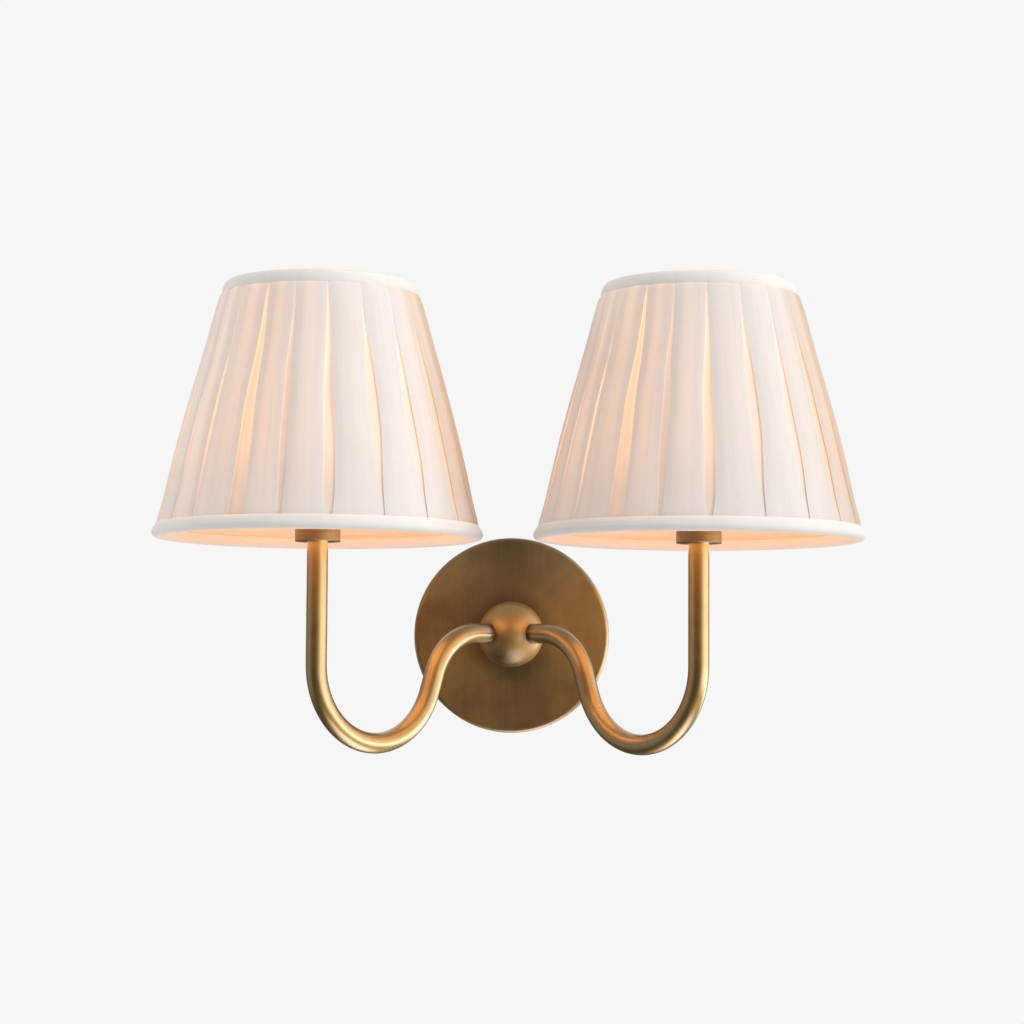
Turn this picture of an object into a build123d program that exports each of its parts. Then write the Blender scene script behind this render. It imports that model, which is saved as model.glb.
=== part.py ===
from build123d import *
from math import atan2, cos, degrees, hypot, pi, radians, sin, sqrt, tan
import os

# Wall lamp with two arms and two pleated shades, in millimetres.
# +Z is up, the wall is the plane Y = 0, the front looks towards -Y,
# and the origin is the centre of the wall plate on the wall.

# Clearances
thread_gap = 0.05
solder_gap = 0.05
face_gap = 0.05
running_gap = 0.08
layer_gap = 0.1
screw_gap = 0.15
loose_gap = 0.3

# Degrees in a full turn
full_turn = 360.0

# Wall plate
plate_d = 127.0
plate_depth = 18.0
plate_wall = 1.5
plate_edge_r = 2.5

# Ball hub
ball_d = 42.0
ball_seat_d = 16.0

# Threaded pipe, the same at the hub and under each socket
pipe_d = 10.2
pipe_end = 1.0
hub_pipe_depth = 11.0
socket_pipe_depth = 9.0
nut_across = 14.0
nut_h = 3.5
washer_d = 16.0
washer_t = 1.0

# Mounting bar behind the plate
bar_width = 20.0
bar_t = 2.5
bar_gap = 0.4
bar_front_gap = 3.5
slot_spacing = 88.9
slot_width = 4.8
slot_length = 14.0

# Set screws in the plate's rim and ground screw on the bar
screw_d = 4.0
screw_head_d = 7.0
screw_head_h = 2.2
screw_end = 2.0
screw_sink = 0.2
screw_socket = 2.0
screw_socket_h = 2.0
ground_screw_x = 22.0

# Leads and the caps that join them
lead_d = 2.2
lead_gap = 0.4
lead_fork_r = 5.0
lead_entry = 4.5
lead_bar_gap = 3.4
connector_wall = 2.5
connector_tip_d = 7.0
connector_h = 20.0
connector_bore_h = 12.0
connector_bar_gap = 12.0

# Arm tube: a straight start, a crook that turns down, a short link and a cradle that turns up
# wide enough to keep the two shades a gap apart
tube_d = 12.7
arm_splay = 45.0
arm_end_gap = 3.15
arm_out = 10.3
crook_r = 38.0
crook_angle = 71.0
crook_link = 12.6
shade_gap = 30.0

# Socket and its seat on top of the arm
seat_z = 52.0
seat_d = 27.6
seat_h = 7.7
seat_edge = 0.3
seat_bore_h = 3.0
strap_t = 0.8
strap_width = 9.0
strap_h = 26.0
strap_foot_d = 16.0
rivet_d = 2.4
rivet_head_d = 4.4
rivet_head_h = 0.9
rivet_h = 2.0
rivet_up = 4.0
socket_d = 19.0
socket_flat_cut = 0.7
socket_base_h = 8.0
socket_lift = 9.6
socket_depth = 19.0
shell_wall = 0.5
shell_h = 18.0
contact_t = 0.5
contact_h = 2.0
contact_width = 4.0
contact_foot = 3.9
contact_tongue = 3.0
sleeve_wall = 0.8
sleeve_lip = 0.6

# Bulb
eyelet_d = 4.0
eyelet_tip_d = 2.4
eyelet_h = 1.2
insulator_d = 10.0
insulator_tip_d = 4.8
insulator_h = 3.0
cap_d = 11.7
cap_wall = 0.4
cap_h = 14.0
cap_hole_d = 3.0
glass_d = 35.0
glass_wall = 0.9
glass_low_r = 24.0
glass_top_r = 90.0
glass_tip_r = 4.0
neck_bend_r = 9.0
neck_out = 1.5
neck_in = 8.0
stem_d = 4.4
stem_h = 18.0
stem_flare_h = 6.0
filament_d = 1.8
filament_h = 34.0
filament_ring_d = 12.0
filament_wire_d = 1.0
filament_lift = 4.0
filament_count = 4

# Clip that sits on the bulb and carries the shade
clip_wire_d = 1.6
clip_spread = 50.0
clip_headroom = 5.0
clip_waist_depth = 1.5
clip_waist_share = 0.45
clip_base_d = 11.0
clip_corner_r = 4.0
clip_hug_r = 12.0
shoulder_d = 16.0
shoulder_t = 1.5
stud_d = 6.3
stud_h = 9.0

# Finial on the stud
finial_d = 12.0
finial_base_h = 2.0
finial_wall = 0.9
finial_neck_h = 3.0
finial_ball_d = 11.0

# Shade, measured over its bindings
shade_bottom_d = 199.8
shade_top_d = 116.4
shade_h = 155.8
spider_drop = 27.7
spider_arms = 3
spider_turn = 90.0
spider_lap = 3.0
spider_clear = 2.0
wire_d = 3.0
spider_washer_t = 1.5
liner_t = 0.6
cloth_t = 0.7
pleat_depth = 1.6
pleat_crown = 0.5
pleat_count = 22
pleat_turn = -87.0
pleat_gap_mid = 5.0
pleat_gap_tip = 0.5
pleat_sections = 5
trim_t = 1.2
bottom_trim_h = 8.5
bottom_trim_in = 6.0
top_trim_h = 8.0
top_trim_in = 2.5

# Places that follow from the sizes above
hub_out = plate_depth + sqrt((ball_d / 2) ** 2 - (ball_seat_d / 2) ** 2)
lead_offset = lead_d / 2 + lead_gap
pipe_bore_d = 2 * (lead_offset * sqrt(2) + lead_d / 2 + loose_gap)
wire_way_d = pipe_bore_d + lead_d / 2
pipe_hole_d = pipe_d + 2 * thread_gap
tube_bore_d = pipe_d + 2 * thread_gap
tube_hole_d = tube_d + 2 * solder_gap
screw_hole_d = screw_d + 2 * thread_gap
lead_hole_d = lead_d + 2 * layer_gap
splay_cos = cos(radians(arm_splay))
splay_sin = sin(radians(arm_splay))
arm_start = tube_d / 2 * tan(radians(arm_splay)) + arm_end_gap
arm_run = sqrt((ball_d / 2) ** 2 - (tube_d / 2) ** 2) + arm_out
crook_sin = sin(radians(crook_angle))
crook_cos = cos(radians(crook_angle))
lamp_x = (shade_bottom_d + shade_gap) / 2
lamp_reach = lamp_x / splay_cos
lamp_y = -hub_out - lamp_reach * splay_sin
cradle_r = (lamp_reach - arm_run - crook_r * crook_sin - crook_link * crook_cos) / (1 + crook_sin)
cradle_u = lamp_reach - cradle_r
cradle_z = -crook_r * (1 - crook_cos) - crook_link * crook_sin + cradle_r * crook_cos

plate_inside = plate_depth - plate_wall
pipe_back = plate_inside - washer_t - nut_h - pipe_end
bar_half = sqrt((plate_d / 2 - plate_wall) ** 2 - (bar_width / 2) ** 2) - bar_gap
bar_tab = plate_inside - bar_front_gap
rim_screw_out = (bar_t + bar_tab) / 2
lead_out = bar_t + lead_bar_gap + lead_d / 2
lead_turn_r = pipe_back - lead_out + lead_d / 2
connector_z = bar_width / 2 + connector_bar_gap
connector_bore_d = 2 * (lead_offset + lead_d / 2 + lead_gap)
connector_d = connector_bore_d + 2 * connector_wall

seat_top = seat_z + seat_h
arm_top = seat_z + seat_bore_h
nut_z = seat_top + strap_t
socket_z = seat_top + socket_lift
floor_z = socket_z + socket_base_h
socket_top = floor_z + socket_depth
socket_flat = socket_d - 2 * socket_flat_cut
shell_bore_d = cap_d + 2 * loose_gap
shell_d = shell_bore_d + 2 * shell_wall
shell_rim_d = 2 * (hypot(contact_foot, contact_width / 2) + loose_gap)
rivet_hole_d = rivet_d + 2 * layer_gap
strap_corner = hypot(socket_flat / 2 + strap_t, strap_width / 2)
rivet_corner = hypot(socket_flat / 2 + strap_t + rivet_head_h, rivet_head_d / 2)
sleeve_bore_d = 2 * (max(strap_corner, rivet_corner) + loose_gap)
sleeve_d = sleeve_bore_d + 2 * sleeve_wall
eyelet_z = floor_z + contact_h + face_gap
insulator_z = eyelet_z + eyelet_h + face_gap
cap_z = insulator_z + insulator_h
cap_top = cap_z + cap_h

neck_r = cap_d / 2 - cap_wall - layer_gap
neck_z = cap_top + neck_out
neck_center_r = neck_r + neck_bend_r
low_center_r = glass_d / 2 - glass_low_r
top_center_r = glass_d / 2 - glass_top_r
belly_z = neck_z + sqrt((glass_low_r + neck_bend_r) ** 2 - (neck_center_r - low_center_r) ** 2)
tip_z = belly_z + sqrt((glass_top_r - glass_tip_r) ** 2 - top_center_r**2)
bulb_top = tip_z + glass_tip_r
stem_z = cap_top - neck_in
stem_top = stem_z + stem_h

clip_r = glass_d / 2 + loose_gap + clip_wire_d / 2
shoulder_z = bulb_top + clip_headroom
washer_z = shoulder_z + shoulder_t
spider_washer_d = shoulder_d + 2 * (spider_clear + spider_lap)
finial_neck_d = stud_d + 2 * (running_gap + finial_wall)
finial_z = washer_z + spider_washer_t
shade_top = washer_z + spider_drop
shade_z = shade_top - shade_h
shade_slope = (shade_bottom_d - shade_top_d) / 2 / shade_h
shade_cos = 1 / sqrt(1 + shade_slope**2)


def save(piece, node):
    piece.label = node
    export_step(piece, f"parts/{node}.step")


# Planes, axes and curves that several pieces share


def arm_plane(sign):
    # Upright plane of one arm: local X runs out from the hub, local Y is up
    outwards = (sign * splay_cos, -splay_sin, 0)
    return Plane(origin=(0, -hub_out, 0), x_dir=outwards, z_dir=(-splay_sin, -sign * splay_cos, 0))


def across_arm(sign, out):
    # Plane square to the arm's straight start, at a distance out from the hub's centre
    outwards = (sign * splay_cos, -splay_sin, 0)
    return Plane(origin=arm_plane(sign).from_local_coords((out, 0, 0)), z_dir=outwards)


def lamp_section(sign):
    # Upright plane through a lamp's axis: local X is the radius, local Y is up
    return Plane(origin=(sign * lamp_x, lamp_y, 0), x_dir=(1, 0, 0), z_dir=(0, -1, 0))


def lamp_level(sign, height):
    return Plane(origin=(sign * lamp_x, lamp_y, height), x_dir=(1, 0, 0), z_dir=(0, 0, 1))


def lamp_axis(sign):
    return Axis((sign * lamp_x, lamp_y, 0), (0, 0, 1))


def polar(center_x, center_y, radius, angle):
    return (center_x + radius * cos(radians(angle)), center_y + radius * sin(radians(angle)))


def arc(center_x, center_y, radius, start, end):
    middle = (start + end) / 2
    return ThreePointArc(
        polar(center_x, center_y, radius, start),
        polar(center_x, center_y, radius, middle),
        polar(center_x, center_y, radius, end),
    )


def arm_curve(offset, top):
    # The arm's bends, moved sideways in their own plane by an offset towards the inside of the cradle
    arc(arm_run, -crook_r, crook_r + offset, 90, 90 - crook_angle)
    low = -90 - crook_angle
    link_end = polar(cradle_u, cradle_z, cradle_r - offset, low)
    Line(polar(arm_run, -crook_r, crook_r + offset, 90 - crook_angle), link_end)
    arc(cradle_u, cradle_z, cradle_r - offset, low, 0)
    rod_u = cradle_u + cradle_r - offset
    Line((rod_u, cradle_z), (rod_u, top))


def shade_cone(height):
    # Radius over the bindings at a height
    return shade_bottom_d / 2 - shade_slope * (height - shade_z)


def crest_cone(height):
    return shade_cone(height) - trim_t - layer_gap


def cloth_cone(height):
    return crest_cone(height) - pleat_depth - cloth_t


def liner_cone(height):
    return cloth_cone(height) - layer_gap


def inner_cone(height):
    return liner_cone(height) - liner_t


def ring_radius(height):
    # Wire ring against the inside of the sloping lining
    return inner_cone(height) - (wire_d / 2 + layer_gap) / shade_cos


# Wall plate, hub and mounting hardware


def backplate():
    with BuildPart() as plate:
        with BuildSketch(Plane.XZ):
            Circle(plate_d / 2)
        extrude(amount=plate_depth)
        fillet(plate.faces().sort_by(Axis.Y)[0].edges(), radius=plate_edge_r)
        offset(amount=-plate_wall, openings=plate.faces().sort_by(Axis.Y)[-1])
        with BuildSketch(Plane.XZ):
            Circle(pipe_hole_d / 2)
        extrude(amount=plate_depth, mode=Mode.SUBTRACT)
        with BuildSketch(Plane.YZ):
            with Locations((-rim_screw_out, 0)):
                Circle(screw_hole_d / 2)
        extrude(amount=plate_d / 2, both=True, mode=Mode.SUBTRACT)
    return plate.part


def hub_ball():
    with BuildPart() as ball:
        with Locations((0, -hub_out, 0)):
            Sphere(ball_d / 2)
        split(bisect_by=Plane.XZ.offset(plate_depth), keep=Keep.TOP)
        with BuildSketch(Plane.XZ.offset(plate_depth)):
            Circle(pipe_hole_d / 2)
        extrude(amount=hub_pipe_depth, mode=Mode.SUBTRACT)
        with BuildSketch(Plane.XZ.offset(plate_depth)):
            Circle(wire_way_d / 2)
        extrude(amount=hub_out - plate_depth, mode=Mode.SUBTRACT)
        with Locations((0, -hub_out, 0)):
            Sphere(wire_way_d / 2, mode=Mode.SUBTRACT)
        for sign in (-1, 1):
            with BuildSketch(across_arm(sign, 0)):
                Circle(wire_way_d / 2)
            extrude(amount=arm_start, mode=Mode.SUBTRACT)
            with BuildSketch(across_arm(sign, arm_start)):
                Circle(tube_hole_d / 2)
            extrude(amount=ball_d, mode=Mode.SUBTRACT)
    return ball.part


def hub_pipe():
    with BuildPart() as pipe:
        with BuildSketch(Plane.XZ.offset(pipe_back)):
            Circle(pipe_d / 2)
            Circle(pipe_bore_d / 2, mode=Mode.SUBTRACT)
        extrude(amount=plate_depth + hub_pipe_depth - pipe_back)
    return pipe.part


def hub_washer():
    with BuildPart() as washer:
        with BuildSketch(Plane.XZ.offset(plate_inside - washer_t)):
            Circle(washer_d / 2)
            Circle(pipe_hole_d / 2, mode=Mode.SUBTRACT)
        extrude(amount=washer_t)
    return washer.part


def hub_nut():
    with BuildPart() as nut:
        with BuildSketch(Plane.XZ.offset(plate_inside - washer_t - nut_h)):
            RegularPolygon(nut_across / 2, 6, major_radius=False, rotation=30)
            Circle(pipe_hole_d / 2, mode=Mode.SUBTRACT)
        extrude(amount=nut_h)
    return nut.part


def mounting_bar():
    with BuildPart() as bar:
        with BuildSketch(Plane.XZ):
            Rectangle(2 * bar_half, bar_width)
        extrude(amount=bar_t)
        with BuildSketch(Plane.XZ):
            with Locations((bar_half - bar_t / 2, 0), (bar_t / 2 - bar_half, 0)):
                Rectangle(bar_t, bar_width)
        extrude(amount=bar_tab)
        with BuildSketch(Plane.XZ):
            with Locations((slot_spacing / 2, 0), (-slot_spacing / 2, 0)):
                SlotOverall(slot_length, slot_width)
            with Locations((ground_screw_x, 0)):
                Circle(screw_hole_d / 2)
        extrude(amount=bar_t, mode=Mode.SUBTRACT)
        with BuildSketch(Plane.YZ):
            with Locations((-rim_screw_out, 0)):
                Circle(screw_d / 2 + screw_gap)
        extrude(amount=bar_half, both=True, mode=Mode.SUBTRACT)
    return bar.part


def canopy_screws():
    # Headless screws, sunk a little in the rim, whose points sit in the holes of the bar's tabs
    inner = bar_half - bar_t - screw_end
    outer = plate_d / 2 - screw_sink
    with BuildPart() as screws:
        for sign in (-1, 1):
            with BuildSketch(Plane(origin=(sign * inner, -rim_screw_out, 0), z_dir=(sign, 0, 0))):
                Circle(screw_d / 2)
            extrude(amount=outer - inner)
            with BuildSketch(Plane(origin=(sign * outer, -rim_screw_out, 0), z_dir=(-sign, 0, 0))):
                RegularPolygon(screw_socket / 2, 6, major_radius=False)
            extrude(amount=screw_socket_h, mode=Mode.SUBTRACT)
    return screws.part


def ground_screw():
    with BuildPart() as screw:
        with BuildSketch(Plane.XZ):
            with Locations((ground_screw_x, 0)):
                Circle(screw_d / 2)
        extrude(amount=bar_t)
        with BuildSketch(Plane.XZ.offset(bar_t)):
            with Locations((ground_screw_x, 0)):
                Circle(screw_head_d / 2)
        extrude(amount=screw_head_h)
        fillet(screw.faces().sort_by(Axis.Y)[0].edges(), radius=screw_head_h / 2)
    return screw.part


def wire_connectors():
    with BuildPart() as caps:
        for up in (1, -1):
            mouth = Plane(origin=(0, -lead_out, up * connector_z), x_dir=(1, 0, 0), z_dir=(0, 0, up))
            with BuildSketch(mouth):
                Circle(connector_d / 2)
            with BuildSketch(mouth.offset(connector_h)):
                Circle(connector_tip_d / 2)
            loft()
            with BuildSketch(mouth):
                Circle(connector_bore_d / 2)
            extrude(amount=connector_bore_h, mode=Mode.SUBTRACT)
    return caps.part


# Arm and leads


def arm(sign):
    with BuildPart() as tube:
        with BuildLine(arm_plane(sign)):
            Line((arm_start, 0), (arm_run, 0))
            arm_curve(0, arm_top)
        with BuildSketch(across_arm(sign, arm_start)):
            Circle(tube_d / 2)
            Circle(tube_bore_d / 2, mode=Mode.SUBTRACT)
        sweep()
    return tube.part


def leads(sign):
    # One lead keeps above the arm's centre line and one below, up to the joining caps
    with BuildPart() as pair:
        for up in (1, -1):
            side_x = sign * lead_offset
            height = up * lead_offset
            cap_end = (side_x, -lead_out, up * (connector_z + connector_bore_h - lead_d))
            turn = (side_x, -lead_out, height)
            fork = (side_x, -hub_out - lead_offset * splay_sin / splay_cos, height)
            with BuildLine():
                FilletPolyline(
                    cap_end, turn, fork, arm_plane(sign).from_local_coords((arm_run, height, 0)),
                    radius=[lead_turn_r, lead_fork_r],
                )
            with BuildLine(arm_plane(sign)):
                arm_curve(height, socket_z + lead_entry)
            with BuildSketch(Plane(origin=cap_end, z_dir=(0, 0, -up))):
                Circle(lead_d / 2)
            sweep()
    return pair.part


# Socket


def socket_seat(sign):
    with BuildPart() as seat:
        with BuildSketch(lamp_section(sign)):
            with BuildLine():
                Polyline(
                    (pipe_hole_d / 2, arm_top),
                    (tube_hole_d / 2, arm_top),
                    (tube_hole_d / 2, seat_z),
                    (seat_d / 2 - seat_edge, seat_z),
                    (seat_d / 2, seat_z + seat_edge),
                    (seat_d / 2, seat_top - seat_edge),
                    (seat_d / 2 - seat_edge, seat_top),
                    (pipe_hole_d / 2, seat_top),
                    close=True,
                )
            make_face()
        revolve(axis=lamp_axis(sign))
    return seat.part


def socket_pipe(sign):
    with BuildPart() as pipe:
        with BuildSketch(lamp_level(sign, arm_top - socket_pipe_depth)):
            Circle(pipe_d / 2)
            Circle(pipe_bore_d / 2, mode=Mode.SUBTRACT)
        extrude(amount=socket_pipe_depth + nut_z + nut_h + pipe_end - arm_top)
    return pipe.part


def socket_nut(sign):
    with BuildPart() as nut:
        with BuildSketch(lamp_level(sign, nut_z)):
            RegularPolygon(nut_across / 2, 6, major_radius=False, rotation=30)
            Circle(pipe_hole_d / 2, mode=Mode.SUBTRACT)
        extrude(amount=nut_h)
    return nut.part


def socket_bracket(sign):
    with BuildPart() as strap:
        with BuildSketch(lamp_section(sign)):
            with Locations((0, seat_top + strap_h / 2)):
                Rectangle(socket_flat + 2 * strap_t, strap_h)
            with Locations((0, seat_top + strap_t + strap_h / 2)):
                Rectangle(socket_flat, strap_h, mode=Mode.SUBTRACT)
        extrude(amount=strap_width / 2, both=True)
        with BuildSketch(lamp_level(sign, seat_top)):
            Circle(strap_foot_d / 2)
        extrude(amount=strap_t)
        with BuildSketch(lamp_level(sign, seat_top)):
            Circle(pipe_hole_d / 2)
        extrude(amount=strap_t, mode=Mode.SUBTRACT)
        with BuildSketch(Plane(origin=(sign * lamp_x, lamp_y, socket_z + rivet_up), z_dir=(1, 0, 0))):
            Circle(rivet_hole_d / 2)
        extrude(amount=socket_flat, both=True, mode=Mode.SUBTRACT)
    return strap.part


def socket_rivets(sign):
    with BuildPart() as rivets:
        for way in (-1, 1):
            axle = Plane(origin=(sign * lamp_x, lamp_y, socket_z + rivet_up), z_dir=(way, 0, 0))
            with BuildSketch(axle.offset(socket_flat / 2 - rivet_h)):
                Circle(rivet_d / 2)
            extrude(amount=rivet_h + strap_t)
            with BuildSketch(axle.offset(socket_flat / 2 + strap_t)):
                Circle(rivet_head_d / 2)
            extrude(amount=rivet_head_h)
    return rivets.part


def socket_body(sign):
    with BuildPart() as body:
        with BuildSketch(lamp_level(sign, socket_z)):
            Circle(socket_d / 2)
            Rectangle(socket_flat, socket_d, mode=Mode.INTERSECT)
        extrude(amount=socket_top - socket_z)
        with BuildSketch(lamp_level(sign, floor_z)):
            Circle(shell_d / 2 + layer_gap)
        extrude(amount=socket_depth, mode=Mode.SUBTRACT)
        with BuildSketch(lamp_level(sign, socket_z)):
            for way in (-1, 1):
                with Locations((way * lead_offset * sign * splay_cos, -way * lead_offset * splay_sin)):
                    Circle(lead_hole_d / 2)
        extrude(amount=lead_entry + layer_gap, mode=Mode.SUBTRACT)
        for way in (-1, 1):
            axle = Plane(origin=(sign * lamp_x, lamp_y, socket_z + rivet_up), z_dir=(way, 0, 0))
            with BuildSketch(axle.offset(socket_flat / 2 - rivet_h - layer_gap)):
                Circle(rivet_hole_d / 2)
            extrude(amount=rivet_h + layer_gap, mode=Mode.SUBTRACT)
    return body.part


def screw_shell(sign):
    with BuildPart() as shell:
        with BuildSketch(lamp_section(sign)):
            with BuildLine():
                Polyline(
                    (shell_rim_d / 2, floor_z),
                    (shell_d / 2, floor_z),
                    (shell_d / 2, floor_z + shell_h),
                    (shell_bore_d / 2, floor_z + shell_h),
                    (shell_bore_d / 2, floor_z + shell_wall),
                    (shell_rim_d / 2, floor_z + shell_wall),
                    close=True,
                )
            make_face()
        revolve(axis=lamp_axis(sign))
    return shell.part


def center_contact(sign):
    # Bent strip: a foot on the socket's floor, a ramp and a raised tongue under the bulb
    with BuildPart() as contact:
        with BuildSketch(lamp_section(sign)):
            with BuildLine():
                Polyline(
                    (-contact_foot, floor_z),
                    (contact_t - contact_tongue, floor_z),
                    (contact_t, floor_z + contact_h - contact_t),
                    (contact_tongue, floor_z + contact_h - contact_t),
                    (contact_tongue, floor_z + contact_h),
                    (0, floor_z + contact_h),
                    (-contact_tongue, floor_z + contact_t),
                    (-contact_foot, floor_z + contact_t),
                    close=True,
                )
            make_face()
        extrude(amount=contact_width / 2, both=True)
    return contact.part


def candle_sleeve(sign):
    with BuildPart() as sleeve:
        with BuildSketch(lamp_level(sign, seat_top)):
            Circle(sleeve_d / 2)
            Circle(sleeve_bore_d / 2, mode=Mode.SUBTRACT)
        extrude(amount=socket_top + sleeve_lip - seat_top)
    return sleeve.part


# Bulb


def bulb_eyelet(sign):
    with BuildPart() as eyelet:
        with BuildSketch(lamp_section(sign)):
            with BuildLine():
                Polyline(
                    (0, eyelet_z),
                    (eyelet_tip_d / 2, eyelet_z),
                    (eyelet_d / 2, eyelet_z + eyelet_h / 2),
                    (eyelet_d / 2, eyelet_z + eyelet_h),
                    (0, eyelet_z + eyelet_h),
                    close=True,
                )
            make_face()
        revolve(axis=lamp_axis(sign))
    return eyelet.part


def bulb_insulator(sign):
    with BuildPart() as insulator:
        with BuildSketch(lamp_level(sign, insulator_z)):
            Circle(insulator_tip_d / 2)
        with BuildSketch(lamp_level(sign, cap_z)):
            Circle(insulator_d / 2)
        loft()
    return insulator.part


def bulb_cap(sign):
    with BuildPart() as cap:
        with BuildSketch(lamp_level(sign, cap_z)):
            Circle(cap_d / 2)
            Circle(cap_hole_d / 2, mode=Mode.SUBTRACT)
        extrude(amount=cap_h)
        with BuildSketch(lamp_level(sign, cap_z + cap_wall)):
            Circle(cap_d / 2 - cap_wall)
        extrude(amount=cap_h, mode=Mode.SUBTRACT)
    return cap.part


def glass_curve(inset):
    # Torpedo outline from the neck to the tip, moved inwards by an inset
    low_turn = degrees(atan2(neck_z - belly_z, neck_center_r - low_center_r))
    tip_turn = degrees(atan2(tip_z - belly_z, -top_center_r))
    Line((neck_r - inset, stem_z), (neck_r - inset, neck_z))
    arc(neck_center_r, neck_z, neck_bend_r + inset, full_turn / 2, full_turn / 2 + low_turn)
    arc(low_center_r, belly_z, glass_low_r - inset, low_turn, 0)
    arc(top_center_r, belly_z, glass_top_r - inset, 0, tip_turn)
    arc(0, tip_z, glass_tip_r - inset, tip_turn, 90)


def bulb_glass(sign):
    with BuildPart() as glass:
        with BuildSketch(lamp_section(sign)):
            with BuildLine():
                glass_curve(0)
                glass_curve(glass_wall)
                Line((neck_r - glass_wall, stem_z), (neck_r, stem_z))
                Line((0, bulb_top - glass_wall), (0, bulb_top))
            make_face()
        revolve(axis=lamp_axis(sign))
    return glass.part


def bulb_stem(sign):
    flare_r = neck_r - glass_wall - layer_gap
    with BuildPart() as stem:
        with BuildSketch(lamp_section(sign)):
            with BuildLine():
                Polyline(
                    (0, stem_z),
                    (flare_r, stem_z),
                    (stem_d / 2, stem_z + stem_flare_h),
                    (stem_d / 2, stem_top),
                    (0, stem_top),
                    close=True,
                )
            make_face()
        revolve(axis=lamp_axis(sign))
    return stem.part


def bulb_filament(sign):
    # A middle wire on the stem, and glowing rods between two stars of cross wires
    low = stem_top + filament_lift
    with BuildPart() as filament:
        with BuildSketch(lamp_level(sign, stem_top)):
            Circle(filament_wire_d / 2)
        extrude(amount=filament_lift + filament_h)
        for i in range(filament_count):
            turn = full_turn / filament_count * i
            foot = polar(0, 0, filament_ring_d / 2, turn)
            with BuildSketch(lamp_level(sign, low)):
                with Locations(foot):
                    Circle(filament_d / 2)
            extrude(amount=filament_h)
            for height in (low + filament_wire_d / 2, low + filament_h - filament_wire_d / 2):
                spoke = Plane(origin=(sign * lamp_x, lamp_y, height), z_dir=(*foot, 0))
                with BuildSketch(spoke):
                    Circle(filament_wire_d / 2)
                extrude(amount=filament_ring_d / 2)
    return filament.part


# Clip, shade and finial


def bulb_clip(sign):
    # Two wire loops round the bulb's widest part hang from a shoulder with a threaded stud
    step = clip_spread * 2 / 3
    corner_r = clip_r / cos(radians(step / 2))
    waist_z = belly_z + (shoulder_z - belly_z) * clip_waist_share
    with BuildPart() as clip:
        with BuildSketch(lamp_level(sign, shoulder_z)):
            Circle(shoulder_d / 2)
        extrude(amount=shoulder_t)
        with BuildSketch(lamp_level(sign, shoulder_z)):
            Circle(stud_d / 2)
        extrude(amount=shoulder_t + spider_washer_t + stud_h)
        for middle in (0, full_turn / 2):
            first = middle - clip_spread
            last = middle + clip_spread
            start = [
                (*polar(sign * lamp_x, lamp_y, clip_base_d / 2, first), shoulder_z + shoulder_t / 2),
                (*polar(sign * lamp_x, lamp_y, clip_r - clip_waist_depth, first), waist_z),
            ]
            hug = [(*polar(sign * lamp_x, lamp_y, corner_r, first + step * k), belly_z) for k in range(4)]
            back = [
                (*polar(sign * lamp_x, lamp_y, clip_r - clip_waist_depth, last), waist_z),
                (*polar(sign * lamp_x, lamp_y, clip_base_d / 2, last), shoulder_z + shoulder_t / 2),
            ]
            with BuildLine() as loop:
                FilletPolyline(
                    *start, *hug, *back,
                    radius=[clip_hug_r, clip_corner_r, clip_hug_r, clip_hug_r, clip_corner_r, clip_hug_r],
                )
            with BuildSketch(Plane(origin=loop.wire() @ 0, z_dir=loop.wire() % 0)):
                Circle(clip_wire_d / 2)
            sweep()
    return clip.part


def shade_spider(sign):
    # Top ring, sloping arms and the washer that sits on the clip's shoulder
    ring_z = shade_top - top_trim_in - layer_gap - wire_d / 2
    ring_r = ring_radius(ring_z)
    washer_mid = washer_z + spider_washer_t / 2
    with BuildPart() as spider:
        with BuildSketch(lamp_section(sign)):
            with Locations((ring_r, ring_z)):
                Circle(wire_d / 2)
        revolve(axis=lamp_axis(sign))
        with BuildSketch(lamp_level(sign, washer_z)):
            Circle(spider_washer_d / 2)
        extrude(amount=spider_washer_t)
        for i in range(spider_arms):
            turn = spider_turn + full_turn / spider_arms * i
            root_r = spider_washer_d / 2 - spider_lap
            inner = Vector(*polar(sign * lamp_x, lamp_y, root_r, turn), washer_mid)
            outer = Vector(*polar(sign * lamp_x, lamp_y, ring_r, turn), ring_z)
            with BuildSketch(Plane(origin=inner, z_dir=outer - inner)):
                Circle(wire_d / 2)
            extrude(amount=(outer - inner).length)
        with BuildSketch(lamp_level(sign, washer_z)):
            Circle(stud_d / 2 + running_gap)
        extrude(amount=spider_washer_t, mode=Mode.SUBTRACT)
    return spider.part


def shade_bottom_ring(sign):
    ring_z = shade_z + trim_t + layer_gap + wire_d / 2
    with BuildPart() as ring:
        with BuildSketch(lamp_section(sign)):
            with Locations((ring_radius(ring_z), ring_z)):
                Circle(wire_d / 2)
        revolve(axis=lamp_axis(sign))
    return ring.part


def shade_liner(sign):
    low = shade_z + trim_t + layer_gap
    high = shade_top - trim_t - layer_gap
    with BuildPart() as liner:
        with BuildSketch(lamp_section(sign)):
            with BuildLine():
                Polyline(
                    (inner_cone(low), low),
                    (liner_cone(low), low),
                    (liner_cone(high), high),
                    (inner_cone(high), high),
                    close=True,
                )
            make_face()
        revolve(axis=lamp_axis(sign))
    return liner.part


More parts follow.
